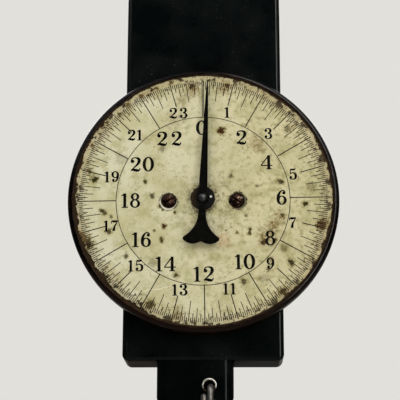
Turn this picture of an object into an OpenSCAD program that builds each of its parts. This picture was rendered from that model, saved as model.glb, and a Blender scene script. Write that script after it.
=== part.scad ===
/* [Case] */
// Width of the case
case_w = 120.4; // [112:0.2:140]
// Height of the case
case_h = 305; // [300:1:340]
// Depth from the front of the case to its back face
case_d = 34; // [32:0.5:40]
// Thickness of the drawn front sheet
sheet_t = 1; // [0.8:0.1:1.4]
// Thickness of the back sheet
back_t = 1.5; // [1.2:0.1:2]
// Radius of the case's corners seen from the front
case_corner_r = 5.5; // [5:0.5:12]
// Radius of the case's front edges
case_edge_r = 3.2; // [2:0.1:5]
// Width of the flange that the back is screwed to
flange_w = 8; // [7:0.5:10]

/* [Hanger] */
// Diameter of the hanging hole
hang_hole_d = 10; // [8:0.5:12]
// Height of the hanging hole above the case
hang_rise = 24; // [20:1:40]
// Distance from the middle of the hanger to the back face
hang_to_back = 7; // [6.5:0.1:9]
// Width of the hanger strap
hanger_w = 28; // [22:1:40]
// Thickness of the hanger strap
hanger_t = 3; // [2:0.25:4]
// Length of the hanger strap inside the case
hanger_tuck = 24; // [20:1:30]
// Thickness of the anchor under the case's top
anchor_t = 2.5; // [2:0.25:3]
// Width of the anchor
anchor_w = 44; // [36:1:60]
// Diameter of the hanger's rivets
hanger_rivet_d = 4; // [3:0.5:6]

/* [Dial] */
// Diameter over the rolled rim
dial_d = 205.4; // [190:0.1:220]
// Height of the dial's centre above the bottom of the case
dial_up = 120.5; // [118:0.5:126]
// Distance from the case's front to the dial's face
dial_gap = 14; // [12:0.5:18]
// Thickness of the dial sheet
dial_t = 0.8; // [0.6:0.1:1.2]
// Radius of the rolled rim's section
rim_r = 3.4; // [3:0.1:4]
// How far the rim stands in front of the dial's face
rim_rise = 0.5; // [0.3:0.1:0.8]
// Depth of the rim's skirt behind the middle of its rolled section
skirt_depth = 6; // [5:0.5:8]
// Thickness of the rim's skirt
skirt_t = 1; // [0.8:0.1:1.4]
// How far the rim lies to the right of the pointer's centre
rim_right = 0.3; // [-1:0.1:1]
// How far the rim lies above the pointer's centre
rim_up = 0.9; // [-1:0.1:1.5]
// Distance between the two dial screws
dial_screw_pitch = 51.4; // [46:0.2:60]
// Drop of the dial screws below the dial's centre
dial_screw_drop = 1.3; // [0:0.1:2]
// Diameter of a dial screw's head
dial_head_d = 11.9; // [10:0.1:13]
// Height of a dial screw's head
dial_head_h = 2.4; // [2:0.1:3]
// Diameter of a dial screw's thread
dial_screw_d = 4.8; // [4:0.1:6]
// Diameter of a dial post
post_d = 9; // [8:0.5:11]
// Slope of the left dial screw's slot
slot_turn_left = 27; // [-90:1:90]
// Slope of the right dial screw's slot
slot_turn_right = -35; // [-90:1:90]

/* [Pointer] */
// Length of the blade from the centre to the tip
blade_len = 94; // [80:0.5:96]
// Width of the blade beside the hub
blade_w = 6.8; // [5:0.1:8]
// Width of the blade just before its tip
tip_w = 1.7; // [1.2:0.1:2.5]
// Length of the blade's sharpened end
tip_len = 8; // [4:0.5:12]
// Length of the tail from the centre to the notch between its tips
tail_len = 33.6; // [28:0.1:38]
// Width of the tail over its tips
tail_w = 27.5; // [22:0.1:32]
// Width of the tail's neck
neck_w = 5.3; // [4:0.1:6.5]
// Diameter of the pointer's middle disc
disc_d = 18.4; // [16:0.1:22]
// Thickness of the pointer sheet
pointer_t = 0.8; // [0.6:0.1:1.2]
// Distance from the dial's face to the back of the pointer
pointer_gap = 3; // [2.5:0.1:5]
// Thickness of the hub's disc
disc_t = 1.4; // [1:0.1:1.8]
// Degrees that the pointer stands past upright when nothing hangs
pointer_rest_turn = 2.2; // [-4:0.1:4]

/* [Movement] */
// Size of the teeth
tooth_module = 0.8; // [0.75:0.01:0.85]
// Teeth on the pinion
pinion_teeth = 16; // [15:1:18]
// Width of the pinion's face and of the rack
gear_w = 6; // [5:0.5:7]
// Play across the teeth
tooth_play = 0.16; // [0.1:0.01:0.2]
// Pressure angle of the teeth
tooth_angle = 20; // [18:0.5:22]
// Diameter of the arbor
arbor_d = 4; // [3.5:0.1:4.5]
// Outer diameter of the bushes
bush_d = 7.5; // [7:0.1:8.5]
// Thickness of the rack behind its teeth
rack_back = 8; // [7.4:0.1:9]
// Thickness of the bridge
bridge_t = 1.6; // [1.2:0.1:2]
// Width of the bridge
bridge_w = 18; // [15:0.5:20]

/* [Springs] */
// Diameter of the spring wire
spring_wire = 1.6; // [1.4:0.05:1.8]
// Outer diameter of a spring
spring_d = 14; // [12:0.1:15]
// Rise of one curl
spring_pitch = 2.9; // [2.6:0.05:3.4]
// Least height from a bar to the nearest curl
spring_lead = 12.2; // [11:0.1:16]
// Distance between the two springs
spring_spacing = 17; // [16:0.1:19]
// Height of the lower spring bar above the dial's centre
lower_bar_up = 60; // [58:0.5:62]
// Depth of the upper spring bar below the case's top
upper_bar_drop = 24.5; // [22:0.5:27]
// Diameter of the upper spring bar
upper_bar_d = 6; // [5:0.5:7]
// Diameter of the lower spring bar
lower_bar_d = 5; // [4.5:0.5:6]
// Depth of the grooves that keep the springs in place
groove_depth = 0.4; // [0.3:0.1:0.6]
// Distance from the case's front to the middle of the springs
spring_depth = 17; // [16:0.5:18]

/* [Zero adjustment] */
// Diameter of the zero screw
zero_screw_d = 5; // [4:0.5:6]
// Diameter of the knurled zero nut
zero_nut_d = 14; // [12:0.5:15]
// Height of the knurled zero nut
zero_nut_h = 7; // [5:0.5:9]
// Grooves of the knurl
zero_knurls = 30; // [20:2:40]

/* [Load channel] */
// Width of the load channel
channel_w = 57.2; // [50:0.2:64]
// Shift of the channel's middle from the case's middle, to the left
channel_shift = 5.9; // [4:0.1:8]
// Depth of the channel from front to back
channel_depth = 23.6; // [20:0.2:26]
// Thickness of the channel
channel_t = 1.6; // [1.2:0.1:2]
// Outer radius of the channel's bends
channel_bend_r = 7; // [4:0.5:9]
// Height of the channel's plate below the case
channel_drop = 35; // [30:0.5:45]
// Radius of the plate's lower corners
channel_corner_r = 10; // [6:0.5:14]
// Thickness of the tie plate across the channel's open side
tie_t = 1; // [0.8:0.1:1.4]
// Height of the hook hole above the plate's lower edge
hook_hole_up = 17; // [15:0.5:24]
// Distance of the load line from the case's middle, to the right
load_x = 4.7; // [3:0.1:7]
// Distance of the stop pin from the case's middle, to the left
stop_x = 21; // [18:0.5:24]
// Depth of the stop pin below the dial's centre
stop_down = 32; // [26:1:40]
// Diameter of the stop pin
stop_d = 4; // [3:0.5:5]

/* [Load hook] */
// Diameter of the hook's wire
hook_wire = 4.8; // [4:0.1:5.2]
// Bore of the eyelet
eyelet_bore = 8.3; // [8:0.1:9]
// Radius of the eyelet's rolled lip
eyelet_lip_r = 0.7; // [0.5:0.1:0.9]
// Radius of the hook's bend through the eyelet
eye_bend_r = 5; // [4.8:0.1:6]
// Length of the hook's shank
shank_len = 36; // [32:1:50]
// Radius of the open hook to the middle of the wire
throat_r = 18; // [15:0.5:24]
// Radius of the bend between the shank and the open hook
neck_r = 10; // [8:0.5:14]
// Degrees that the shank bends away from upright
neck_turn = 50; // [40:1:60]
// Degrees that the open hook's end lies short of the top, to the left
hook_end_turn = 48; // [40:1:70]

/* [Fits] */
// Gap between sliding sheets
slide_gap = 0.4; // [0.3:0.05:0.6]
// Radial gap of a running fit
run_gap = 0.05; // [0.02:0.01:0.08]
// Gap between a loose piece and its seat
seat_gap = 0.3; // [0.2:0.05:0.4]
// End play of the arbor
end_play = 0.3; // [0.2:0.1:0.5]
// Swing of the load hook to each side
hook_swing = 20; // [5:1:25]
// Gap between the hook's closed eye and the plate's lower edge at full swing
eye_gap = 0.8; // [0.6:0.1:3]

/* [Hidden] */
$fn = 64;

// Colours
black_enamel = "#15161a";
dark_steel = "#3a2d25";
bright_steel = "#9a9a98";
zinc = "#b4b2aa";
brass = "#b08d4c";
cream = "#cfc6ab";

// Planes of the case, front to back, with the hanger's middle at zero
y_back = hang_to_back;
y_front = y_back - case_d;
y_shell = y_back - back_t;
y_inner = y_front + sheet_t;
y_face = y_front - dial_gap;
y_dial_back = y_face + dial_t;
y_springs = y_front + spring_depth;

// Levels, with the hanging hole at zero
z_top = -hang_rise;
z_bottom = z_top - case_h;
z_dial = z_bottom + dial_up;
z_upper_bar = z_top - upper_bar_drop;
z_lower_bar = z_dial + lower_bar_up;
z_plate = z_bottom - channel_drop;
z_hook_hole = z_plate + hook_hole_up;
z_stop = z_dial - stop_down;

// Screws of the back
back_screw_d = 3.6;
back_head_d = 6.2;
back_head_land = 0.2;
back_head_h = back_t - back_head_land;
back_screw_len = 4.5;
back_screw_inset = 14;
back_screw_x = case_w / 2 - flange_w / 2 - sheet_t;
back_screw_z = [z_bottom + back_screw_inset, z_bottom + case_h / 2, z_top - back_screw_inset];
slot_w = 1.1;

// Gears: one turn of the pointer takes the whole travel of the channel
pitch_r = tooth_module * pinion_teeth / 2;
tooth_pitch = PI * tooth_module;
travel = tooth_pitch * pinion_teeth;
tip_rise = 0.8 * tooth_module;
root_drop = tooth_module;
rack_over = 8;
rack_count = floor((travel + 2 * rack_over) / tooth_pitch);

// Load channel
channel_x = -channel_shift;
y_web = y_inner + slide_gap;
y_web_back = y_web + channel_t;
y_channel_back = y_web + channel_depth;
bar_cover = 7;
z_channel_top = z_lower_bar + bar_cover;
pinion_way = 1.3;
arbor_slot_w = 2 * (pitch_r + tip_rise + pinion_way);
foot_up = 15;
eyelet_r = eyelet_bore / 2;
eyelet_lip_at = eyelet_r + eyelet_lip_r;

// Movement
y_pinion = y_web_back + end_play;
y_pinion_back = y_pinion + gear_w;
bush_flange_d = bush_d + 4;
bush_flange_t = 1.2;
y_bridge = y_pinion_back + end_play + bush_flange_t;
bridge_up = 9.5;
bridge_down = 24;
bridge_foot = 11;

// Pointer stack in front of the dial
y_pointer = y_face - pointer_gap;
y_pointer_front = y_pointer - pointer_t;
hub_d = 9;
nut_d = 7;
nut_h = 2.6;
y_arbor_end = y_pointer_front - nut_h + 0.8;

// Springs
spring_r = (spring_d - spring_wire) / 2;
spring_curls = floor((z_upper_bar - z_lower_bar - 2 * spring_lead) / spring_pitch);
hook_r_upper = upper_bar_d / 2 - groove_depth + seat_gap + spring_wire / 2;
hook_r_lower = lower_bar_d / 2 - groove_depth + seat_gap + spring_wire / 2;
spring_sides = 6;
rings_per_curl = 8;

// Hook
hook_r = hook_wire / 2;
hook_offset = [0.9, -1.1];
x_hook = load_x + hook_offset[0];
z_hook = z_hook_hole + hook_offset[1];
y_hook = (y_web + y_web_back) / 2;
eye_side = hook_wire + 0.1;
eye_close_r = norm([eye_side / 2, eye_bend_r]);
// The eye clears the plate's lower edge when the hook has swung to one side
eye_drop = (hook_hole_up + hook_offset[1] + eye_gap + hook_r + eye_side / 2 * sin(hook_swing))
    / cos(hook_swing);
eye_len = eye_drop - eye_close_r;

// Cylinder along Y between two planes
module rod_y(d, y0, y1) {
    translate([0, y1, 0]) rotate([90, 0, 0]) cylinder(d = d, h = y1 - y0);
}

// Flat shape drawn in X and Z, between two planes
module plate_y(y0, y1) {
    translate([0, y1, 0]) rotate([90, 0, 0]) linear_extrude(y1 - y0) children();
}

// Shape turned about Y: radius to the right, height towards the front
module turned_y(y_base) {
    translate([0, y_base, 0]) rotate([90, 0, 0]) rotate_extrude() children();
}

// Rectangle with four round corners
module round_rect(w, h, r) {
    square([w - 2 * r, h], center = true);
    square([w, h - 2 * r], center = true);
    for (x = [-1, 1], y = [-1, 1])
        translate([x * (w / 2 - r), y * (h / 2 - r)]) circle(r);
}

// Rectangle with its two front corners round, front edge on the X axis
module front_rounded(w, depth, r) {
    translate([-w / 2, r]) square([w, depth - r]);
    translate([-w / 2 + r, 0]) square([w - 2 * r, depth]);
    for (x = [-1, 1])
        translate([x * (w / 2 - r), r]) circle(r);
}

// Slot with round ends, upright, between two levels
module upright_slot(w, z0, z1) {
    translate([-w / 2, z0 + w / 2]) square([w, z1 - z0 - w]);
    for (z = [z0 + w / 2, z1 - w / 2])
        translate([0, z]) circle(w / 2);
}

// Flat-headed screw along Y, head towards the back
module flat_screw_y(d, head_d, head_h, len, y_head) {
    difference() {
        union() {
            rod_y(d, y_head - len, y_head - head_h / 2);
            translate([0, y_head, 0]) rotate([90, 0, 0])
                cylinder(d1 = head_d, d2 = d, h = head_h);
        }
        translate([-head_d / 2, y_head - head_h / 2, -slot_w / 2]) cube([head_d, head_h, slot_w]);
    }
}

module flat_screw_hole_y(d, head_d, head_h, y_head) {
    rod_y(d + 2 * run_gap, y_head - back_t - 1, y_head + 1);
    translate([0, y_head, 0]) rotate([90, 0, 0])
        cylinder(d1 = head_d + 2 * run_gap, d2 = d + 2 * run_gap, h = head_h);
}

// Case
module case_form(inset, y_end) {
    w = case_w - 2 * inset;
    h = case_h - 2 * inset;
    depth = y_end - y_front - inset;
    z_mid = (z_top + z_bottom) / 2;
    r = case_edge_r - inset;
    intersection() {
        plate_y(y_front + inset, y_end)
            translate([0, z_mid]) round_rect(w, h, case_corner_r - inset);
        translate([0, y_front + inset, z_mid - h / 2])
            linear_extrude(h) front_rounded(w, depth, r);
        translate([-w / 2, y_front + inset, z_mid]) rotate([90, 0, 90])
            linear_extrude(w) mirror([1, -1]) front_rounded(h, depth, r);
    }
}

module at_back_screws() {
    for (x = [-back_screw_x, back_screw_x], z = back_screw_z)
        translate([x, 0, z]) children();
}

module at_dial_post(side) {
    translate([side * dial_screw_pitch / 2, 0, z_dial - dial_screw_drop]) children();
}

module at_dial_posts() {
    for (side = [-1, 1])
        at_dial_post(side) children();
}

post_spigot_d = post_d - 3;

module case_shell() {
    flange_t = 1.2;
    window_w = case_w - 2 * sheet_t - 2 * flange_w;
    window_h = case_h - 2 * sheet_t - 2 * flange_w;
    color(black_enamel) difference() {
        case_form(0, y_shell);
        case_form(sheet_t, y_shell - flange_t);
        plate_y(y_shell - flange_t - 1, y_shell + 1)
            translate([0, (z_top + z_bottom) / 2]) round_rect(window_w, window_h, 4);
        at_back_screws() rod_y(back_screw_d + 2 * run_gap, y_shell - flange_t - 1, y_shell + 1);
        at_dial_posts() rod_y(post_spigot_d + 2 * run_gap, y_front - 1, y_inner + 1);
        translate([0, 0, z_dial]) rod_y(bush_d + 2 * run_gap, y_front - 1, y_inner + 1);
        translate([-stop_x, 0, z_stop]) rod_y(stop_d + 2 * run_gap, y_front - 1, y_inner + 1);
        // Way out for the load channel
        translate([channel_x - channel_w / 2 - slide_gap, y_inner, z_bottom - 1])
            cube([channel_w + 2 * slide_gap, channel_depth + 2 * slide_gap, sheet_t + 3]);
        // Holes in the top for the hanger and the zero screw
        translate([-hanger_w / 2 - seat_gap, -hanger_t / 2 - seat_gap, z_top - sheet_t - 1])
            cube([hanger_w + 2 * seat_gap, hanger_t + 2 * seat_gap, sheet_t + 2]);
        translate([load_x, y_springs, z_top - sheet_t - 1])
            cylinder(d = zero_screw_d + 2 * run_gap, h = sheet_t + 2);
    }
}

module case_back() {
    color(black_enamel) difference() {
        plate_y(y_shell, y_back)
            translate([0, (z_top + z_bottom) / 2]) round_rect(case_w, case_h, case_corner_r);
        at_back_screws() flat_screw_hole_y(back_screw_d, back_head_d, back_head_h, y_back);
        at_bridge_screws() flat_screw_hole_y(back_screw_d, back_head_d, back_head_h, y_back);
        at_guide_rivets() rod_y(guide_rivet_d + 2 * run_gap, y_shell - 1, y_back + 1);
    }
}

module case_screws() {
    color(dark_steel) at_back_screws()
        flat_screw_y(back_screw_d, back_head_d, back_head_h, back_screw_len, y_back);
}

// Hanger
hanger_r = hanger_w / 2;
strap_end = 3;
anchor_foot = hanger_tuck - strap_end;
z_anchor = z_top - sheet_t - anchor_t;

module at_hanger_rivets() {
    for (x = [-hanger_w / 4, hanger_w / 4])
        translate([x, 0, z_anchor - anchor_foot / 2]) children();
}

module hanger_strap() {
    color(black_enamel) difference() {
        plate_y(-hanger_t / 2, hanger_t / 2) {
            circle(hanger_r);
            translate([-hanger_r, z_top - hanger_tuck]) square([hanger_w, hang_rise + hanger_tuck]);
        }
        rod_y(hang_hole_d, -hanger_t, hanger_t);
        at_hanger_rivets() rod_y(hanger_rivet_d, -hanger_t, hanger_t);
    }
}

module top_anchor() {
    lip = 2;
    y_leg = -hanger_t / 2 - anchor_t;
    y_lip = y_springs - zero_screw_d - lip;
    color(zinc) difference() {
        union() {
            translate([-anchor_w / 2, y_lip, z_anchor])
                cube([anchor_w, y_leg + anchor_t - y_lip, anchor_t]);
            translate([-hanger_r, y_leg, z_anchor - anchor_foot])
                cube([hanger_w, anchor_t, anchor_foot + anchor_t]);
        }
        translate([load_x, y_springs, z_anchor - 1])
            cylinder(d = zero_screw_d + 2 * run_gap, h = anchor_t + 2);
        at_hanger_rivets() rod_y(hanger_rivet_d, y_leg - 1, 1);
    }
}

module hanger_rivets() {
    y_leg = -hanger_t / 2 - anchor_t;
    head_h = 0.8;
    color(bright_steel) at_hanger_rivets() {
        rod_y(hanger_rivet_d, y_leg, hanger_t / 2);
        rod_y(hanger_rivet_d + 2.4, y_leg - head_h, y_leg);
        rod_y(hanger_rivet_d + 2.4, hanger_t / 2, hanger_t / 2 + head_h);
    }
}

// Zero adjustment
washer_t = 1;
zero_screw_up = washer_t + zero_nut_h + 4;
boss_d = 10;
bar_len = spring_spacing + 14;

module zero_screw() {
    bevel = 0.6;
    z_bevel = z_top + zero_screw_up - bevel;
    z_start = z_upper_bar - boss_d / 2;
    color(zinc) translate([load_x, y_springs, 0]) {
        translate([0, 0, z_start]) cylinder(d = zero_screw_d, h = z_bevel - z_start);
        translate([0, 0, z_bevel])
            cylinder(d1 = zero_screw_d, d2 = zero_screw_d - 2 * bevel, h = bevel);
    }
}

module zero_washer() {
    color(zinc) translate([load_x, y_springs, z_top]) difference() {
        cylinder(d = zero_nut_d - 1, h = washer_t);
        translate([0, 0, -1]) cylinder(d = zero_screw_d + 4 * run_gap, h = washer_t + 2);
    }
}

module zero_nut() {
    bevel = 0.6;
    color(brass) translate([load_x, y_springs, z_top + washer_t]) difference() {
        union() {
            cylinder(d1 = zero_nut_d - 2 * bevel, d2 = zero_nut_d, h = bevel);
            translate([0, 0, bevel]) cylinder(d = zero_nut_d, h = zero_nut_h - 2 * bevel);
            translate([0, 0, zero_nut_h - bevel])
                cylinder(d1 = zero_nut_d, d2 = zero_nut_d - 2 * bevel, h = bevel);
        }
        translate([0, 0, -1]) cylinder(d = zero_screw_d + 2 * run_gap, h = zero_nut_h + 2);
        for (i = [1:zero_knurls])
            rotate([0, 0, i * 360 / zero_knurls]) translate([zero_nut_d / 2 + 0.1, 0, -1])
                cylinder(d = 0.9, h = zero_nut_h + 2);
    }
}

// Bar along X with a groove under each spring
module grooved_bar(d, x0, x1) {
    groove_w = spring_wire + 2 * seat_gap;
    difference() {
        translate([x0, 0, 0]) rotate([0, 90, 0]) cylinder(d = d, h = x1 - x0);
        for (x = [load_x - spring_spacing / 2, load_x + spring_spacing / 2])
            translate([x - groove_w / 2, 0, 0]) rotate([0, 90, 0]) difference() {
                cylinder(d = d + 2, h = groove_w);
                cylinder(d = d - 2 * groove_depth, h = groove_w);
            }
    }
}

module upper_spring_bar() {
    color(bright_steel) translate([0, y_springs, z_upper_bar]) difference() {
        union() {
            grooved_bar(upper_bar_d, load_x - bar_len / 2, load_x + bar_len / 2);
            translate([load_x - 4, 0, 0]) rotate([0, 90, 0]) cylinder(d = boss_d, h = 8);
        }
        translate([load_x, 0, -boss_d]) cylinder(d = zero_screw_d, h = 2 * boss_d);
    }
}

module lower_spring_bar() {
    color(bright_steel) translate([0, y_springs, z_lower_bar])
        grooved_bar(lower_bar_d, channel_x - channel_w / 2, channel_x + channel_w / 2);
}

// Springs: a hook over each bar, and curls between them, as one tube
function bezier(a, b, c, d, t) =
    a * pow(1 - t, 3) + b * 3 * t * pow(1 - t, 2) + c * 3 * t * t * (1 - t) + d * pow(t, 3);

function curl_point(n) =
    [spring_r * cos(360 * n), spring_r * sin(360 * n), spring_pitch * n];

// Half loop over a bar whose middle is at height z, side +1 above the curls and -1 below
function loop_points(r, z, side) = [
    for (k = [0:6]) let (a = 180 - k * 180 / 6) [0, r * cos(a), z + side * r * sin(a)],
    [0, r, z - side * spring_wire]
];

// From the last curl to the upright start of the loop
function lead_points(from, along, r, z, side) = let (
    end = [0, -r, z],
    rise = abs(z - from[2])
) [for (k = [1:7]) bezier(from, from + along * 5, end - [0, 0, side * rise * 0.6], end, k / 8)];

function reversed(list) = [for (k = [len(list) - 1:-1:0]) list[k]];

function spring_path(gap) = let (
    coil_h = spring_curls * spring_pitch,
    low = (gap - coil_h) / 2,
    lift = [0, 0, low],
    steps = spring_curls * rings_per_curl,
    start = curl_point(0.25) + lift,
    finish = curl_point(spring_curls - 0.25) + lift
) concat(
    reversed(concat(lead_points(start, [1, 0, -0.1], hook_r_lower, 0, -1),
        loop_points(hook_r_lower, 0, -1))),
    [for (k = [rings_per_curl / 4:steps - rings_per_curl / 4])
        curl_point(k / rings_per_curl) + lift],
    lead_points(finish, [1, 0, 0.1], hook_r_upper, gap, 1),
    loop_points(hook_r_upper, gap, 1)
);

function unit(v) = v / norm(v);
function tangent(p, i) = unit(p[min(i + 1, len(p) - 1)] - p[max(i - 1, 0)]);
function carried(n, t) = unit(n - t * (n * t));

// One closed tube along a path, with its radius at each point of the path
module tube(path, radii, sides) {
    count = len(path);
    normals = [for (i = 0, n = carried([1, 0, 0], tangent(path, 0)); i < count;
        i = i + 1, n = i < count ? carried(n, tangent(path, i)) : n) n];
    points = [for (i = [0:count - 1], s = [0:sides - 1]) let (
        t = tangent(path, i),
        n = normals[i],
        b = cross(t, n),
        a = 360 * s / sides
    ) path[i] + radii[i] * (n * cos(a) + b * sin(a))];
    walls = [for (i = [0:count - 2], s = [0:sides - 1]) let (
        a = i * sides + s,
        b = i * sides + (s + 1) % sides
    ) each [[a, b + sides, b], [a, a + sides, b + sides]]];
    last = (count - 1) * sides;
    caps = [for (s = [1:sides - 2]) each [[0, s, s + 1], [last, last + s + 1, last + s]]];
    polyhedron(points, concat(walls, caps));
}

function even_radii(path, r) = [for (p = path) r];

// Least gap between two turns of a path, measured on its points
function self_gap(path, r) = min([for (i = [0:len(path) - 1], j = [0:len(path) - 1])
    if (j > i + rings_per_curl / 2) norm(path[i] - path[j])]) - 2 * r;

module spring() {
    path = spring_path(z_upper_bar - z_lower_bar);
    color(bright_steel) translate([0, y_springs, z_lower_bar])
        tube(path, even_radii(path, spring_wire / 2), spring_sides);
}

module spring_left() {
    path = spring_path(z_upper_bar - z_lower_bar);
    echo("least gap of a spring to itself, mm", self_gap(path, spring_wire / 2));
    translate([load_x - spring_spacing / 2, 0, 0]) spring();
}

module spring_right() {
    translate([load_x + spring_spacing / 2, 0, 0]) spring();
}

// Load channel with its slot for the arbor and its slot for the stop pin
module load_channel() {
    z_mid = (z_plate + z_channel_top) / 2;
    h = z_channel_top - z_plate;
    stop_slot = stop_d + 2 * slide_gap;
    color(black_enamel) difference() {
        intersection() {
            translate([channel_x, y_web, z_plate]) linear_extrude(h) difference() {
                front_rounded(channel_w, channel_depth, channel_bend_r);
                translate([0, channel_t]) front_rounded(channel_w - 2 * channel_t,
                    channel_depth, channel_bend_r - channel_t);
            }
            plate_y(y_web - 1, y_channel_back + 1) translate([channel_x, z_mid])
                round_rect(channel_w, h, channel_corner_r);
        }
        // The side walls end above the plate's lower edge
        translate([channel_x - channel_w, y_web + channel_bend_r, z_plate - 1])
            cube([2 * channel_w, channel_depth, foot_up + 1]);
        plate_y(y_web - 1, y_web_back + 1)
            upright_slot(arbor_slot_w, z_dial - arbor_slot_w / 2,
                z_dial + travel + arbor_slot_w / 2);
        plate_y(y_web - 1, y_web_back + 1) translate([-stop_x, 0])
            upright_slot(stop_slot, z_stop - stop_slot / 2, z_stop + travel + stop_slot / 2);
        translate([load_x, 0, z_hook_hole]) rod_y(2 * eyelet_lip_at, y_web - 1, y_web_back + 1);
        translate([channel_x - channel_w, y_springs, z_lower_bar]) rotate([0, 90, 0])
            cylinder(d = lower_bar_d, h = 2 * channel_w);
        at_rack_rivets() rod_y(rack_rivet_d, y_web - 1, y_web_back + 1);
    }
}

// Tie plate on the back edges of the channel's side walls, below the case
module channel_tie() {
    hang = 3;
    case_gap = 3;
    corner_r = 3;
    z_low = z_plate + foot_up - hang;
    z_high = z_bottom - case_gap;
    color(black_enamel) plate_y(y_channel_back, y_channel_back + tie_t)
        translate([channel_x, (z_low + z_high) / 2]) round_rect(channel_w, z_high - z_low, corner_r);
}

// Rolled eyelet round the hook hole
module hook_eyelet() {
    color(bright_steel) translate([load_x, 0, z_hook_hole]) turned_y(y_web_back) difference() {
        union() {
            translate([eyelet_r, 0]) square([eyelet_lip_r, channel_t]);
            for (h = [0, channel_t])
                translate([eyelet_lip_at, h]) circle(eyelet_lip_r);
        }
        translate([eyelet_lip_at, 0]) square([2 * eyelet_lip_r, channel_t]);
    }
}

// Rack: a space between two teeth faces the pinion at rest
rack_rivet_d = 3;
rack_rivet_end = 6;
rack_rivet_edge = 1.3;
z_rack_low = z_dial - rack_over;
z_rack_high = z_rack_low + rack_count * tooth_pitch;
x_rack_back = pitch_r + rack_back;

module at_rack_rivets() {
    for (z = [z_rack_low + rack_rivet_end, z_rack_high - rack_rivet_end])
        translate([x_rack_back - rack_rivet_d / 2 - rack_rivet_edge, 0, z]) children();
}

module rack() {
    half = tooth_pitch / 4 - tooth_play / 4;
    half_tip = half - tip_rise * tan(tooth_angle);
    half_root = half + root_drop * tan(tooth_angle);
    first = -floor(rack_over / tooth_pitch);
    color(bright_steel) difference() {
        plate_y(y_web_back, y_web_back + gear_w + 2 * end_play) polygon(concat(
            [[x_rack_back, z_rack_high], [x_rack_back, z_rack_low], [pitch_r + root_drop, z_rack_low]],
            [for (k = [first:first + rack_count - 2]) let (z = z_dial + (k + 0.5) * tooth_pitch) each [
                [pitch_r + root_drop, z - half_root],
                [pitch_r - tip_rise, z - half_tip],
                [pitch_r - tip_rise, z + half_tip],
                [pitch_r + root_drop, z + half_root]
            ]],
            [[pitch_r + root_drop, z_rack_high]]
        ));
        at_rack_rivets() rod_y(rack_rivet_d, y_web_back - 1, y_web_back + gear_w + 2);
    }
}

module rack_rivets() {
    y_rack = y_web_back + gear_w + 2 * end_play;
    color(bright_steel) at_rack_rivets() {
        rod_y(rack_rivet_d, y_web, y_rack);
        rod_y(rack_rivet_d + 2, y_rack, y_rack + 0.8);
    }
}

// Pinion with involute teeth
function involute(a) = tan(a) - a * PI / 180;
base_r = pitch_r * cos(tooth_angle);
pinion_tip_r = pitch_r + tip_rise;
half_tooth = 90 / pinion_teeth - tooth_play / 4 / pitch_r * 180 / PI;
function flank_angle(r) =
    half_tooth + (involute(tooth_angle) - involute(acos(min(1, base_r / r)))) * 180 / PI;

module pinion() {
    root_r = pitch_r - root_drop;
    flank = [root_r, for (k = [0:3]) base_r + (pinion_tip_r - base_r) * k / 3];
    color(brass) translate([0, 0, z_dial]) difference() {
        plate_y(y_pinion, y_pinion_back) polygon([for (n = [0:pinion_teeth - 1]) let (
            a = 360 * n / pinion_teeth
        ) each concat(
            [for (r = flank) let (t = a - flank_angle(max(r, base_r))) r * [cos(t), sin(t)]],
            [for (r = reversed(flank)) let (t = a + flank_angle(max(r, base_r))) r * [cos(t), sin(t)]]
        )]);
        rod_y(arbor_d, y_pinion - 1, y_pinion_back + 1);
    }
}

module arbor() {
    bevel = 0.5;
    y_end = y_bridge + bridge_t + 1;
    color(bright_steel) translate([0, 0, z_dial]) {
        rod_y(arbor_d, y_arbor_end, y_end - bevel);
        translate([0, y_end, 0]) rotate([90, 0, 0])
            cylinder(d1 = arbor_d - 2 * bevel, d2 = arbor_d, h = bevel);
    }
}

module front_bush() {
    color(brass) translate([0, 0, z_dial]) difference() {
        union() {
            rod_y(bush_flange_d, y_front - bush_flange_t, y_front);
            rod_y(bush_d, y_front, y_pinion - end_play);
        }
        rod_y(arbor_d + 2 * run_gap, y_front - 3, y_pinion + 1);
    }
}

module rear_bush() {
    color(brass) translate([0, 0, z_dial]) difference() {
        union() {
            rod_y(bush_flange_d, y_bridge - bush_flange_t, y_bridge);
            rod_y(bush_d, y_bridge, y_bridge + bridge_t);
        }
        rod_y(arbor_d + 2 * run_gap, y_bridge - 3, y_bridge + bridge_t + 1);
    }
}

// Bridge that carries the rear bush on the case's back
module at_bridge_screws() {
    for (z = [z_dial + bridge_up + bridge_foot / 2, z_dial - bridge_down - bridge_foot / 2])
        translate([0, 0, z]) children();
}

module arbor_bridge() {
    z0 = z_dial - bridge_down;
    z1 = z_dial + bridge_up;
    color(zinc) difference() {
        translate([-bridge_w / 2, 0, 0]) rotate([90, 0, 90]) linear_extrude(bridge_w) {
            translate([y_bridge, z0]) square([bridge_t, z1 - z0]);
            for (z = [z0, z1 - bridge_t])
                translate([y_bridge, z]) square([y_shell - y_bridge, bridge_t]);
            translate([y_shell - bridge_t, z1 - bridge_t]) square([bridge_t, bridge_foot + bridge_t]);
            translate([y_shell - bridge_t, z0 - bridge_foot]) square([bridge_t, bridge_foot + bridge_t]);
        }
        translate([0, 0, z_dial]) rod_y(bush_d + 2 * run_gap, y_bridge - 1, y_bridge + bridge_t + 1);
        at_bridge_screws() rod_y(back_screw_d + 2 * run_gap, y_shell - bridge_t - 1, y_shell + 1);
    }
}

module bridge_screws() {
    color(dark_steel) at_bridge_screws()
        flat_screw_y(back_screw_d, back_head_d, back_head_h, back_screw_len, y_back);
}

// Guides
guide_t = 2;
guide_h = 24;
guide_foot = 9;
guide_rivet_d = 3;
y_guide = y_web_back + 3;

module at_guide_rivets() {
    for (side = [-1, 1], z = [-1, 1])
        translate([guide_rivet_x(side), 0, z_dial + z * (guide_h / 2 - 4)]) children();
}
function guide_face_x(side) = channel_x + side * (channel_w / 2 + slide_gap);
function guide_rivet_x(side) = guide_face_x(side) + side * (guide_t + guide_foot / 2);

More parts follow.
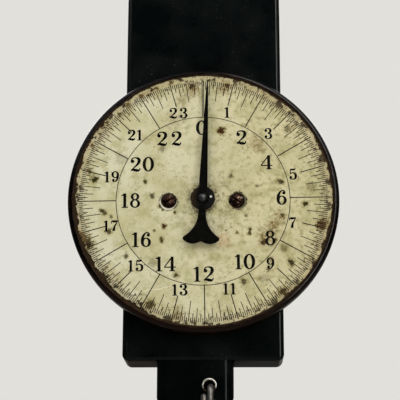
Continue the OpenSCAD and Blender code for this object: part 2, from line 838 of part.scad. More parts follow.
module side_guide(side) {
    lip = 4;
    color(zinc) difference() {
        translate([guide_face_x(side), 0, z_dial - guide_h / 2]) linear_extrude(guide_h)
            mirror([side < 0 ? 1 : 0, 0]) {
                translate([0, y_guide]) square([guide_t, y_shell - y_guide]);
                translate([0, y_shell - guide_t]) square([guide_t + guide_foot, guide_t]);
                translate([-lip, y_channel_back + slide_gap]) square([lip + guide_t, guide_t]);
            }
        at_guide_rivets() rod_y(guide_rivet_d + 2 * run_gap, y_shell - guide_t - 1, y_shell + 1);
    }
}

module side_guide_left() {
    side_guide(-1);
}

module side_guide_right() {
    side_guide(1);
}

module guide_rivets() {
    color(bright_steel) at_guide_rivets() {
        rod_y(guide_rivet_d, y_shell - guide_t, y_back);
        rod_y(guide_rivet_d + 2, y_shell - guide_t - 0.8, y_shell - guide_t);
    }
}

module bottom_guide() {
    margin = 9;
    gap = slide_gap;
    w = channel_w + 2 * gap + 2 * margin;
    y_end = y_channel_back + gap + 3;
    color(zinc) translate([channel_x, 0, z_bottom + sheet_t]) difference() {
        translate([-w / 2, y_inner + case_edge_r, 0]) cube([w, y_end - y_inner - case_edge_r, guide_t]);
        translate([-channel_w / 2 - gap, y_inner, -1])
            cube([channel_w + 2 * gap, channel_depth + 2 * gap, guide_t + 2]);
    }
}

module stop_pin() {
    head_h = 1;
    color(bright_steel) translate([-stop_x, 0, z_stop]) {
        rod_y(stop_d, y_front, y_web_back + 1);
        rod_y(stop_d + 3, y_front - head_h, y_front);
    }
}

// Dial: the sheet's edge lies under the crest of the rolled rim
rim_at = dial_d / 2 - rim_r;
sheet_edge_r = rim_at;
y_rim = y_face - rim_rise + rim_r;
hub_hole_gap = 2;
screw_hole_gap = 0.2;

module at_rim() {
    translate([rim_right, 0, z_dial + rim_up]) children();
}

module dial_plate() {
    color(cream) difference() {
        at_rim() rod_y(2 * sheet_edge_r, y_face, y_dial_back);
        translate([0, 0, z_dial]) rod_y(hub_d + 2 * hub_hole_gap, y_face - 1, y_dial_back + 1);
        at_dial_posts() rod_y(dial_screw_d + 2 * screw_hole_gap, y_face - 1, y_dial_back + 1);
    }
}

// Rim rolled over the edge of the dial sheet, with a skirt towards the case
module dial_rim() {
    color(black_enamel) at_rim() difference() {
        turned_y(y_rim) {
            translate([rim_at, 0]) circle(rim_r);
            translate([dial_d / 2 - skirt_t, -skirt_depth]) square([skirt_t, skirt_depth]);
        }
        rod_y(2 * sheet_edge_r, y_face, y_dial_back);
    }
}

module dial_post() {
    color(zinc) difference() {
        union() {
            rod_y(post_d, y_dial_back, y_front);
            rod_y(post_spigot_d, y_front, y_inner);
        }
        rod_y(dial_screw_d + 2 * run_gap, y_dial_back - 1, y_front - 2);
    }
}

module dial_post_left() {
    at_dial_post(-1) dial_post();
}

module dial_post_right() {
    at_dial_post(1) dial_post();
}

module dial_screw(turn) {
    cap_r = (pow(dial_head_d / 2, 2) + pow(dial_head_h, 2)) / (2 * dial_head_h);
    color(dark_steel) difference() {
        union() {
            intersection() {
                translate([0, y_face - dial_head_h + cap_r, 0]) sphere(cap_r);
                rod_y(dial_head_d, y_face - dial_head_h, y_face);
            }
            rod_y(dial_screw_d, y_face, y_front - 3);
        }
        rotate([0, -turn, 0]) translate([-dial_head_d, y_face - dial_head_h - 1, -slot_w / 2])
            cube([2 * dial_head_d, 1 + dial_head_h * 0.55, slot_w]);
    }
}

module dial_screws() {
    at_dial_post(-1) dial_screw(slot_turn_left);
    at_dial_post(1) dial_screw(slot_turn_right);
}

// Pointer strap: tapered blade, round middle and a spread tail with two lobes
eye_w = 10;
tail_lobe = 2.1;
tail_power = 3.4;
tail_tip_r = 1.75;
tail_tip_up = 1.8;
tail_tip_from = 54;
tail_tip_to = -65;

function round_middle(from, to) =
    [for (k = [0:6]) let (a = from + (to - from) * k / 6) eye_w / 2 * [cos(a), sin(a)]];

// One side of the outline, from the tip of the blade down to the tail's notch
function pointer_side() = let (
    tip = [tail_w / 2 - tail_tip_r, tail_tip_up - tail_len],
    tip_arc = [for (k = [0:6]) let (a = tail_tip_from + (tail_tip_to - tail_tip_from) * k / 6)
        tip + tail_tip_r * [cos(a), sin(a)]],
    flank_w = tip_arc[0][0] - neck_w / 2,
    neck_end = eye_w / 2,
    run = -tip_arc[0][1] - neck_end,
    lobe_w = tip_arc[6][0]
) concat(
    [[0.2, blade_len], [tip_w / 2, blade_len - tip_len]],
    round_middle(acos(blade_w / eye_w), -acos(neck_w / eye_w)),
    [for (k = [1:11]) let (u = k / 12)
        [neck_w / 2 + flank_w * pow(u, tail_power), -neck_end - run * u]],
    tip_arc,
    [for (k = [9:-1:1]) let (u = k / 10) [lobe_w * u, -tail_len - tail_lobe * sin(180 * u)]]
);

module pointer_outline() {
    side = pointer_side();
    polygon(concat(
        side,
        [[0, -tail_len]],
        [for (p = reversed(side)) [-p[0], p[1]]]
    ));
}

module pointer() {
    color(black_enamel) translate([0, 0, z_dial]) rotate([0, pointer_rest_turn, 0]) difference() {
        plate_y(y_pointer_front, y_pointer) pointer_outline();
        rod_y(arbor_d + 2, y_pointer_front - 1, y_pointer + 1);
    }
}

// Hub: disc behind the strap, with a collar on each side
module pointer_hub() {
    foot_gap = 0.8;
    y_hub_back = y_face - foot_gap;
    edge = 0.5;
    color(black_enamel) translate([0, 0, z_dial]) difference() {
        union() {
            rod_y(hub_d, y_pointer, y_hub_back);
            rod_y(disc_d, y_pointer + edge, y_pointer + disc_t);
            translate([0, y_pointer + edge, 0]) rotate([90, 0, 0])
                cylinder(d1 = disc_d, d2 = disc_d - 2 * edge, h = edge);
            rod_y(arbor_d + 2, y_pointer_front, y_pointer);
        }
        rod_y(arbor_d, y_pointer_front - 1, y_hub_back + 1);
    }
}

module pointer_nut() {
    cap_r = (pow(nut_d / 2, 2) + pow(nut_h, 2)) / (2 * nut_h);
    color(dark_steel) translate([0, 0, z_dial]) difference() {
        intersection() {
            translate([0, y_pointer_front - nut_h + cap_r, 0]) sphere(cap_r);
            rod_y(nut_d, y_pointer_front - nut_h, y_pointer_front);
        }
        rod_y(arbor_d, y_arbor_end, y_pointer_front + 1);
    }
}

// Load hook: one wire bent into a closed eye, a shank and an open hook
hook_sides = 16;
eye_tuck = 3;
neck_straight = (throat_r * cos(neck_turn) - neck_r * (1 - cos(neck_turn))) / sin(neck_turn);
throat_drop = neck_r * sin(neck_turn) + neck_straight * cos(neck_turn) + throat_r * sin(neck_turn);
z_throat = -shank_len - throat_drop;

// Points of an arc about a centre, from one angle to another, in the plane of two directions
function arc(centre, r, u, v, from, to, steps) =
    [for (k = [0:steps]) let (a = from + (to - from) * k / steps) centre + r * (u * cos(a) + v * sin(a))];

function hook_path() = let (
    x = [1, 0, 0],
    y = [0, 1, 0],
    z = [0, 0, 1],
    across = unit([eye_side, 2 * eye_bend_r, 0]),
    front = [0, -eye_bend_r, 0]
) concat(
    [[-eye_side, -eye_bend_r, -eye_bend_r - eye_tuck]],
    arc([-eye_side / 2, 0, -eye_len], eye_close_r, across, z, -180, 0, 14),
    arc([0, 0, -eye_bend_r], eye_bend_r, y, z, 0, 180, 14),
    arc(front + [neck_r, 0, -shank_len], neck_r, x, z, 180, 180 + neck_turn, 6),
    arc(front + [0, 0, z_throat], throat_r, x, z, neck_turn, hook_end_turn - 270, 36)
);

// Path and radii with a round cap of three rings at each end
function capped_path(p, r) = let (
    last = len(p) - 1,
    first_dir = unit(p[0] - p[1]),
    last_dir = unit(p[last] - p[last - 1])
) concat(
    [for (a = [80, 50, 20]) p[0] + first_dir * r * sin(a)],
    p,
    [for (a = [20, 50, 80]) p[last] + last_dir * r * sin(a)]
);

function capped_radii(p, r) = concat(
    [for (a = [80, 50, 20]) r * cos(a)],
    even_radii(p, r),
    [for (a = [20, 50, 80]) r * cos(a)]
);

module load_hook() {
    path = hook_path();
    color(bright_steel) translate([x_hook, y_hook, z_hook])
        tube(capped_path(path, hook_r), capped_radii(path, hook_r), hook_sides);
}

case_shell();
case_back();
case_screws();
top_anchor();
hanger_strap();
hanger_rivets();
zero_screw();
zero_washer();
zero_nut();
upper_spring_bar();
spring_left();
spring_right();
lower_spring_bar();
load_channel();
channel_tie();
rack();
rack_rivets();
hook_eyelet();
load_hook();
bottom_guide();
side_guide_left();
side_guide_right();
guide_rivets();
stop_pin();
arbor_bridge();
bridge_screws();
front_bush();
rear_bush();
arbor();
pinion();
dial_plate();
dial_rim();
dial_post_left();
dial_post_right();
dial_screws();
pointer();
pointer_hub();
pointer_nut();
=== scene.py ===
import math

import bmesh
import bpy
from mathutils import Matrix, Vector

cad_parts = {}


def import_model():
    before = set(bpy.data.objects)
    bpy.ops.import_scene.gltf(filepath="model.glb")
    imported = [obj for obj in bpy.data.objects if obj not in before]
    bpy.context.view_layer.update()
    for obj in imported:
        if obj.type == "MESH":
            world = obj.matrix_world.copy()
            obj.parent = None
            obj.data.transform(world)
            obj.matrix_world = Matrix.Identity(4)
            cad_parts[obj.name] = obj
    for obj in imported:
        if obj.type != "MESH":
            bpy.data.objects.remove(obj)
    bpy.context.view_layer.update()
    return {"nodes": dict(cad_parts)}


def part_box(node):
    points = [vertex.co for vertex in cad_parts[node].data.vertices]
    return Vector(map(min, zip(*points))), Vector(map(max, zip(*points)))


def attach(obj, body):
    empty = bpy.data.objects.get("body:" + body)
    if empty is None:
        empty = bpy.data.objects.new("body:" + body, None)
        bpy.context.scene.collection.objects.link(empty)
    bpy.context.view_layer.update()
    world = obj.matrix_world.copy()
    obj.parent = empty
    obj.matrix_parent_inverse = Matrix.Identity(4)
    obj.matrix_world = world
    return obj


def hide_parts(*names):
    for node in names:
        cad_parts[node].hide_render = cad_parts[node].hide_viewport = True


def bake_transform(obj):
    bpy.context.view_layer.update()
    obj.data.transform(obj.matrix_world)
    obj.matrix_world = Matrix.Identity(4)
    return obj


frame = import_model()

MM = 0.001

# Places read from the frame. DIAL is the pointer's centre on the face, from which the printing
# is measured, and SHEET is the middle of the dial sheet and its rim.
ARBOR_LOW, ARBOR_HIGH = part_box("arbor")
SHEET_LOW, SHEET_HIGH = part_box("dial_plate")
DIAL = Vector(((ARBOR_LOW.x + ARBOR_HIGH.x) / 2, SHEET_LOW.y, (ARBOR_LOW.z + ARBOR_HIGH.z) / 2))
SHEET = Vector(((SHEET_LOW.x + SHEET_HIGH.x) / 2, SHEET_LOW.y, (SHEET_LOW.z + SHEET_HIGH.z) / 2))
SHEET_R = (SHEET_HIGH.x - SHEET_LOW.x) / 2
SHEET_T = SHEET_HIGH.y - SHEET_LOW.y
SCREWS_LOW, SCREWS_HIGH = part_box("dial_screws")
HEAD_R = (SCREWS_HIGH.z - SCREWS_LOW.z) / 2
HEAD_H = DIAL.y - SCREWS_LOW.y
SCREW_Z = (SCREWS_LOW.z + SCREWS_HIGH.z) / 2
LEFT_SCREW = Vector((SCREWS_LOW.x + HEAD_R, DIAL.y, SCREW_Z))
RIGHT_SCREW = Vector((SCREWS_HIGH.x - HEAD_R, DIAL.y, SCREW_Z))
CASE_LOW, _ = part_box("case_shell")


def beside(point, x, z):
    """A place on the face, x and z in millimetres from a point of it."""
    return point + Vector((x, 0, z)) * MM


def srgb(red, green, blue):
    """A display colour, each part from 0 to 255, as the linear colour that a shader takes."""
    parts = [v / 255 for v in (red, green, blue)]
    return (*[v / 12.92 if v <= 0.04045 else ((v + 0.055) / 1.055) ** 2.4 for v in parts], 1)


class Nodes:
    """A node tree, with short calls for the nodes that go into it."""

    def __init__(self, tree):
        self.tree = tree

    def add(self, kind, inputs=None, **settings):
        """A new node, each of its inputs fed by a socket or set to a value."""
        node = self.tree.nodes.new(kind)
        for key, value in settings.items():
            setattr(node, key, value)
        for key, value in (inputs or {}).items():
            self.feed(node.inputs[key], value)
        return node

    def feed(self, socket, value):
        if isinstance(value, bpy.types.NodeSocket):
            self.tree.links.new(value, socket)
        else:
            socket.default_value = value

    def calc(self, operation, first, second=0.0):
        return self.add("ShaderNodeMath", {0: first, 1: second}, operation=operation).outputs[0]

    def plus(self, first, second):
        return self.calc("ADD", first, second)

    def minus(self, first, second):
        return self.calc("SUBTRACT", first, second)

    def times(self, first, *others):
        for other in others:
            first = self.calc("MULTIPLY", first, other)
        return first

    def vector(self, operation, first, second=(0, 0, 0), result="Vector"):
        node = self.add("ShaderNodeVectorMath", {0: first, 1: second}, operation=operation)
        return node.outputs[result]

    def ramp(self, value, low, high, start=0.0, end=1.0):
        """The start where value is low and the end where it is high, smooth between."""
        inputs = {"Value": value, "From Min": low, "From Max": high, "To Min": start, "To Max": end}
        return self.add("ShaderNodeMapRange", inputs, interpolation_type="SMOOTHSTEP").outputs["Result"]

    def mix(self, share, first, second, blend="MIX"):
        inputs = {0: share, 6: first, 7: second}
        return self.add("ShaderNodeMix", inputs, data_type="RGBA", blend_type=blend).outputs[2]


NOISE_ROUGHNESS = 0.6


class Finish(Nodes):
    """A Principled material, with short calls for the noise and the distances that feed it."""

    def __init__(self, name, colour, roughness=0.5, metallic=0.0, specular=0.5):
        self.material = bpy.data.materials.new(name)
        self.material.use_nodes = True
        super().__init__(self.material.node_tree)
        self.shader = self.tree.nodes["Principled BSDF"]
        self.shader.inputs["Metallic"].default_value = metallic
        self.shader.inputs["Specular IOR Level"].default_value = specular
        coordinates = self.add("ShaderNodeTexCoord")
        self.place = coordinates.outputs["Object"]
        self.facing = coordinates.outputs["Normal"]
        self.set("Base Color", colour)
        self.set("Roughness", roughness)

    def set(self, socket, value):
        self.feed(self.shader.inputs[socket], value)

    def source(self, socket):
        """What feeds an input of the shader so far."""
        return self.shader.inputs[socket].links[0].from_socket

    def noise(self, size, detail):
        """Noise from 0 to 1 whose lumps are about size metres wide."""
        inputs = {"Vector": self.place, "Scale": 1 / size, "Detail": detail, "Roughness": NOISE_ROUGHNESS}
        return self.add("ShaderNodeTexNoise", inputs).outputs["Fac"]

    def patches(self, size, detail, low, high):
        """Noise made into patches: 0 where it is under low and 1 where it is over high."""
        return self.ramp(self.noise(size, detail), low, high)

    def wander(self, size, detail, reach):
        """Noise to both sides of zero, reach wide in all."""
        return self.times(self.minus(self.noise(size, detail), 0.5), reach)

    def axis(self, name, vector=None):
        return self.add("ShaderNodeSeparateXYZ", {0: vector or self.place}).outputs[name]

    def distance(self, point):
        """Distance from a point as it is seen from the front, its depth left out."""
        offset = self.vector("SUBTRACT", self.place, point)
        flat = self.vector("MULTIPLY", offset, (1, 0, 1))
        return self.vector("LENGTH", flat, result="Value")

    def bump(self, height, depth):
        inputs = {"Height": height, "Strength": 1.0, "Distance": depth}
        self.set("Normal", self.add("ShaderNodeBump", inputs).outputs["Normal"])


# Materials: f is the finish that each function makes or adds to
def enamel(name="black_enamel", specular=0.05):
    """Gloss black enamel with faint orange peel and dust in patches."""
    f = Finish(name, srgb(4, 6, 6), specular=specular)
    dull = f.patches(30 * MM, 4, 0.4, 0.7)
    dust = f.times(f.patches(1.1 * MM, 2, 0.67, 0.74), dull)
    black = f.mix(dull, srgb(3, 5, 5), srgb(7, 10, 9))
    f.set("Base Color", f.mix(dust, black, srgb(74, 76, 70)))
    f.set("Roughness", f.plus(f.times(dull, 0.06), 0.17))
    f.bump(f.noise(2.5 * MM, 2), 0.02 * MM)
    return f


def case_enamel():
    """The case's enamel, dull underneath, with rust on the left there and, on the right, a grey that is
    partly dust and partly painted reflection.
    """
    f = enamel("case_enamel")
    black = f.source("Base Color")
    gloss = f.source("Roughness")
    under = f.ramp(f.axis("Z"), CASE_LOW.z + 0.9 * MM, CASE_LOW.z + 0.2 * MM)
    left = f.ramp(f.axis("X"), 10 * MM, -26 * MM)
    ragged = f.patches(4 * MM, 4, 0.4, 0.6)
    # The underside's grey on the right: partly dust, partly a painted reflection.
    dust_and_painted_reflection = f.mix(ragged, srgb(2, 2, 1), srgb(13, 13, 10))
    rusty = f.mix(ragged, srgb(2, 1, 1), srgb(26, 13, 5))
    f.set("Base Color", f.mix(under, black, f.mix(left, dust_and_painted_reflection, rusty)))
    f.set("Roughness", f.plus(gloss, f.times(under, 0.6)))
    return f


def rim_enamel():
    """The rim's enamel: rusty at its lip over the dial, outside black with brown patches, brown below."""
    f = Finish("rim_enamel", srgb(4, 3, 3), specular=0.05)
    radius = f.plus(f.distance(SHEET), f.wander(6 * MM, 5, 3 * MM))
    lip = f.ramp(radius, SHEET_R, SHEET_R - 0.8 * MM)
    rust = f.mix(f.noise(1.6 * MM, 4), srgb(6, 4, 1), srgb(38, 23, 6))
    below = f.ramp(f.axis("Z"), SHEET.z - 40 * MM, SHEET.z - 90 * MM)
    brown = f.calc("MAXIMUM", f.patches(9 * MM, 4, 0.5, 0.7), below)
    outside = f.mix(brown, srgb(3, 2, 2), srgb(16, 6, 2))
    f.set("Base Color", f.mix(lip, outside, rust))
    f.set("Roughness", f.plus(f.times(lip, 0.5), 0.18))
    f.bump(f.noise(1.2 * MM, 4), 0.05 * MM)
    return f


# Rings pressed into the sheet round the dial screws, and the colour inside each: a painted highlight in the
# left one, grime in the right one
GROOVE_DEPTH = 0.6 * MM
GROOVE_IN = HEAD_R - 0.9 * MM
GROOVE_OUT = HEAD_R + 0.9 * MM
GROOVES = [beside(LEFT_SCREW, -0.4, -0.9), beside(RIGHT_SCREW, 0.8, -0.2)]
GROOVE_HIGHLIGHT_AND_GRIME = [srgb(212, 208, 188), srgb(46, 38, 23)]

# Spots of the dial: x and z from its middle and radius in millimetres, how much they show, and colour
OLIVE = srgb(40, 35, 8)
RUST = srgb(52, 28, 6)
SPOTS = [
    (14.0, 54.0, 2.6, 1.0, RUST),
    (-29.0, -21.0, 1.6, 1.0, RUST),
    (17.4, -24.5, 0.9, 0.6, RUST),
    (-43.5, 14.0, 1.5, 0.9, OLIVE),
    (-37.8, 2.2, 1.7, 0.8, OLIVE),
    (35.5, -23.7, 1.2, 0.9, OLIVE),
    (35.1, -27.0, 1.3, 0.9, OLIVE),
    (25.6, -26.4, 1.1, 0.8, OLIVE),
    (32.5, -13.4, 1.0, 0.6, OLIVE),
    (58.9, 13.3, 2.1, 0.9, OLIVE),
    (21.2, 18.0, 1.7, 0.7, OLIVE),
    (40.7, 10.0, 1.1, 0.6, OLIVE),
    (-31.3, -31.0, 1.4, 0.9, OLIVE),
    (-30.4, -33.0, 1.2, 0.8, OLIVE),
    (-36.2, -24.5, 1.0, 0.7, OLIVE),
    (30.6, -63.5, 2.3, 0.8, OLIVE),
    (-19.6, -58.5, 2.0, 0.9, OLIVE),
    (-37.2, -49.0, 3.2, 0.25, OLIVE),
    (-57.3, -44.0, 1.5, 0.8, OLIVE),
    (-31.0, 40.0, 2.4, 0.5, OLIVE),
    (-39.1, -81.0, 2.8, 0.9, OLIVE),
    (59.4, -71.0, 2.5, 1.0, OLIVE),
    (60.6, -38.0, 2.6, 0.45, OLIVE),
    (45.0, -61.5, 3.0, 0.25, OLIVE),
    (50.5, -46.5, 1.7, 0.5, OLIVE),
    (-81.8, 16.4, 2.7, 1.0, OLIVE),
    (-86.0, 22.0, 1.9, 0.8, OLIVE),
    (-74.0, -10.3, 2.0, 0.8, OLIVE),
    (-76.5, -8.8, 1.3, 0.8, OLIVE),
    (-69.0, -13.7, 1.2, 0.7, OLIVE),
    (-70.3, -25.0, 2.0, 0.8, OLIVE),
    (-85.4, -34.7, 3.4, 0.9, OLIVE),
    (-61.9, 31.7, 4.2, 0.2, OLIVE),
    (65.3, 54.8, 2.6, 0.5, OLIVE),
    (77.1, -4.4, 2.0, 1.0, OLIVE),
    (82.0, 9.0, 3.2, 0.3, OLIVE),
    (65.8, -49.5, 2.4, 0.9, OLIVE),
    (49.2, -54.6, 2.0, 0.7, OLIVE),
    (89.0, -20.5, 3.6, 1.0, RUST),
    (-92.0, -30.0, 4.4, 1.0, RUST),
    (-8.5, 90.0, 1.8, 0.9, RUST),
    (19.0, 90.5, 1.8, 0.9, RUST),
    (60.0, -13.0, 1.2, 0.8, OLIVE),
    (45.0, -33.4, 2.2, 0.9, RUST),
    (54.5, -32.0, 1.6, 0.8, RUST),
    (-32.4, -6.2, 1.1, 1.0, OLIVE),
    (-30.3, -8.6, 0.9, 0.9, OLIVE),
    (-21.1, -10.5, 0.9, 0.9, OLIVE),
    (-84.6, 43.0, 1.4, 1.0, RUST),
    (-79.0, 52.4, 1.1, 1.0, OLIVE),
    (-73.0, 61.0, 1.4, 1.0, RUST),
    (-64.5, 68.0, 1.2, 1.0, OLIVE),
    (-57.5, 75.5, 1.4, 1.0, RUST),
    (-47.5, 82.6, 1.8, 1.0, RUST),
    (-42.0, 83.0, 1.0, 1.0, OLIVE),
    (-35.4, 88.5, 1.1, 1.0, RUST),
    (-24.9, 93.0, 1.5, 1.0, RUST),
]
HALO_WASH = (0.42, 0.36, 0.16, 1)

# Smears: x, z and radius in millimetres, how much they show, and what they leave of the paint's colour
BROWN_WASH = (0.34, 0.23, 0.09, 1)
PINK_WASH = (0.8, 0.52, 0.42, 1)
SMEARS = [
    (-8.0, 88.0, 7.0, 0.9, BROWN_WASH),
    (-15.0, 79.0, 6.0, 0.6, BROWN_WASH),
    (16.0, 88.0, 6.0, 0.9, BROWN_WASH),
    (40.7, 44.5, 8.0, 0.7, BROWN_WASH),
    (58.0, -14.0, 5.0, 0.9, BROWN_WASH),
    (53.0, -20.5, 5.6, 1.0, BROWN_WASH),
    (49.0, -29.0, 8.0, 1.0, BROWN_WASH),
    (-17.7, -88.0, 6.0, 0.8, BROWN_WASH),
    (-22.0, 62.0, 7.0, 0.5, BROWN_WASH),
    (-78.0, 52.0, 7.0, 0.4, BROWN_WASH),
    (-60.0, 72.0, 7.0, 0.4, BROWN_WASH),
    (-42.0, 84.0, 6.0, 0.4, BROWN_WASH),
    (15.5, -32.5, 6.0, 0.8, PINK_WASH),
]

# The long scratch: its middle from the dial's, and its rise to the right
SCRATCH_X = -39 * MM
SCRATCH_Z = -69.7 * MM
SCRATCH_SLOPE = 0.17


def dial_paint():
    """Cream paint, stained, speckled and rusted through at the rim, and bare tin behind."""
    f = Finish("dial_paint", srgb(190, 183, 145), specular=0.055)
    clouds = f.noise(24 * MM, 4)
    colour = cream(f, clouds)
    colour = hub_smudge(f, colour)
    for middle, paint in zip(GROOVES, GROOVE_HIGHLIGHT_AND_GRIME):
        colour = groove_dirt(f, colour, middle, paint)
    colour = stains(f, colour)
    colour = specks(f, colour)
    colour = scratch(f, colour)
    colour, rust = edge_rust(f, colour)
    back = f.ramp(f.axis("Y", f.facing), 0.4, 0.7)
    bare_tin = f.mix(f.noise(5 * MM, 5), srgb(58, 54, 48), srgb(96, 92, 84))
    f.set("Base Color", f.mix(back, colour, bare_tin))
    f.set("Roughness", f.plus(f.times(clouds, 0.2), 0.45))
    f.bump(f.plus(f.noise(2 * MM, 5), f.times(rust, -0.8)), 0.12 * MM)
    return f


def cream(f, clouds):
    """Cream paint, darker to the right, yellowed in clouds and blotches, with grime on the right."""
    right = f.ramp(f.axis("X"), -70 * MM, 60 * MM)
    colour = f.mix(right, srgb(204, 200, 169), srgb(199, 191, 152))
    colour = f.mix(f.ramp(clouds, 0.38, 0.68), colour, srgb(186, 179, 138))
    blotches = f.times(f.patches(9 * MM, 5, 0.48, 0.66), 0.7)
    colour = f.mix(blotches, colour, srgb(168, 161, 116))
    grime = f.times(f.patches(4 * MM, 6, 0.5, 0.66), f.ramp(f.axis("X"), -70 * MM, 50 * MM), 0.7)
    return f.mix(grime, colour, srgb(144, 135, 88))


def specks(f, colour):
    """Fine dark specks, in swarms."""
    swarms = f.patches(22 * MM, 2, 0.42, 0.6)
    share = f.times(f.patches(1.3 * MM, 3, 0.62, 0.69), swarms, 0.85)
    return f.mix(share, colour, srgb(66, 60, 30))


def hub_smudge(f, colour):
    """Brown-dark patches round the hub and beside the pointer's tail, darkest close against the hub's disc.
    """
    fine = f.patches(1.5 * MM, 5, 0.36, 0.7)
    broad = f.patches(8 * MM, 3, 0.35, 0.58)
    reach = f.ramp(f.distance(beside(DIAL, 2, -5)), 32 * MM, 8 * MM)
    colour = f.mix(f.times(fine, broad, reach, 0.75), colour, srgb(84, 73, 40))
    close = f.ramp(f.distance(DIAL), 14 * MM, 9 * MM)
    return f.mix(f.times(close, f.ramp(fine, 0.1, 0.7), 0.8), colour, srgb(58, 48, 22))


def groove_dirt(f, colour, middle, paint):
    """The colour inside the ring pressed round a dial screw, a dark line painted along the ring as shade in
    it, and crumbs about it.
    """
    away = f.distance(middle)
    inside = f.ramp(away, GROOVE_OUT, GROOVE_OUT - 0.5 * MM)
    # Inside the ring: for the left screw a painted highlight, for the right screw grime.
    colour = f.mix(f.times(inside, 0.8), colour, paint)
    # Painted shade: a dark, broken line along the ring's outer edge.
    line = f.ramp(f.calc("ABSOLUTE", f.minus(away, GROOVE_OUT)), 0.75 * MM, 0.25 * MM)
    broken = f.patches(2.2 * MM, 4, 0.38, 0.56)
    colour = f.mix(f.times(line, broken), colour, srgb(50, 42, 24))
    near = f.ramp(away, 11 * MM, 7 * MM)
    crumbs = f.times(f.patches(2.4 * MM, 5, 0.6, 0.66), near, f.minus(1.0, inside))
    return f.mix(crumbs, colour, srgb(44, 36, 14))


def stains(f, colour):
    """Brown smears, then spots that are a dark ragged core in a paler, speckled halo."""
    ragged = f.wander(2.2 * MM, 5, 2.6)
    speckled = f.plus(f.times(f.patches(1.3 * MM, 5, 0.4, 0.6), 0.6), 0.4)

    def edge_of(x, z, radius):
        """Distance from a stain's middle, 1 at its ragged edge."""
        return f.plus(f.calc("DIVIDE", f.distance(beside(DIAL, x, z)), radius * MM), ragged)

    for x, z, radius, strength, wash in SMEARS:
        reach = f.times(f.ramp(edge_of(x, z, radius), 1.4, 0.1), speckled, strength)
        colour = f.mix(reach, colour, wash, "MULTIPLY")
    for x, z, radius, strength, tint in SPOTS:
        edge = edge_of(x, z, radius)
        halo = f.times(f.ramp(edge, 2.1, 0.9), speckled, strength)
        core = f.times(f.ramp(edge, 1.15, 0.7), strength)
        colour = f.mix(halo, colour, HALO_WASH, "MULTIPLY")
        colour = f.mix(core, colour, tint)
    return colour


def scratch(f, colour):
    """A thin pale scratch low on the left, rising to the right."""
    x = f.minus(f.axis("X"), DIAL.x + SCRATCH_X)
    z = f.minus(f.axis("Z"), DIAL.z + SCRATCH_Z)
    rise = f.plus(f.times(x, SCRATCH_SLOPE), f.wander(14 * MM, 1, 5 * MM))
    line = f.ramp(f.calc("ABSOLUTE", f.minus(z, rise)), 0.55 * MM, 0.2 * MM)
    ends = f.ramp(f.calc("ABSOLUTE", x), 18 * MM, 14 * MM)
    return f.mix(f.times(line, ends, 0.5), colour, srgb(226, 221, 196))


def edge_rust(f, colour):
    """Paint yellowed, chipped and gone down to the rust near the rim, least at the top and bottom,
    most at the lower left. The share of rust comes with the colour."""
    height = f.calc("DIVIDE", f.minus(f.axis("Z"), SHEET.z), SHEET_R)
    kept = f.times(f.calc("POWER", height, 2.0), 1.4 * MM)
    scallops = f.wander(12 * MM, 2, 7 * MM)
    nibbles = f.wander(2.4 * MM, 5, 4 * MM)
    lower_left = f.ramp(f.distance(beside(SHEET, -66, -66)), 62 * MM, 15 * MM)
    edge = f.minus(f.plus(f.plus(f.distance(SHEET), scallops), nibbles), kept)
    edge = f.plus(edge, f.times(lower_left, 1.6 * MM))
    yellowed = f.times(f.ramp(edge, 86 * MM, 97 * MM), 0.35)
    colour = f.mix(yellowed, colour, srgb(134, 112, 74))
    chips = f.times(f.patches(2.4 * MM, 5, 0.56, 0.62), f.ramp(edge, 84 * MM, 92 * MM), 0.85)
    colour = f.mix(chips, colour, srgb(60, 44, 18))
    blotches = f.times(f.patches(6.5 * MM, 5, 0.53, 0.58), f.ramp(edge, 90.5 * MM, 94.5 * MM), 0.92)
    colour = f.mix(blotches, colour, srgb(38, 25, 9))
    rust = f.ramp(edge, 96.2 * MM, 96.9 * MM)
    rust_colour = f.mix(f.noise(1.5 * MM, 4), srgb(8, 5, 1), srgb(42, 26, 7))
    return f.mix(rust, colour, rust_colour), rust


def dial_ink():
    """Black-brown printing ink, rubbed thin in places."""
    f = Finish("dial_ink", srgb(8, 6, 3), 0.6, specular=0.03)
    faded = f.times(f.patches(12 * MM, 3, 0.6, 0.85), 0.3)
    worn = f.times(f.patches(1.4 * MM, 4, 0.66, 0.82), 0.6)
    colour = f.mix(faded, srgb(5, 4, 2), srgb(66, 56, 34))
    f.set("Base Color", f.mix(worn, colour, srgb(130, 118, 82)))
    return f


def pointer_paint():
    """Satin black paint on the pointer, with dull patches."""
    f = Finish("pointer_paint", srgb(5, 4, 4), specular=0.02)
    dull = f.patches(3 * MM, 5, 0.5, 0.75)
    f.set("Base Color", f.mix(dull, srgb(2, 2, 1), srgb(10, 8, 6)))
    f.set("Roughness", f.plus(f.times(dull, 0.25), 0.3))
    f.bump(f.noise(0.8 * MM, 4), 0.03 * MM)
    return f


def hub_paint():
    """The hub's black paint, with rust specks on its left edge and one bright spot painted on its right side
    as a glint.
    """
    f = Finish("hub_paint", srgb(5, 4, 4), 0.5, specular=0.03)
    left = f.ramp(f.axis("X"), DIAL.x - 3 * MM, DIAL.x - 9 * MM)
    rusty = f.times(left, f.patches(0.9 * MM, 3, 0.5, 0.6))
    colour = f.mix(rusty, srgb(4, 4, 3), srgb(66, 50, 26))
    # Painted glint: a small bright spot on the disc's right side.
    painted_glint = f.ramp(f.distance(beside(DIAL, 6.2, 1.0)), 1.2 * MM, 0.5 * MM)
    f.set("Base Color", f.mix(painted_glint, colour, srgb(190, 188, 178)))
    f.bump(f.noise(1 * MM, 4), 0.04 * MM)
    return f


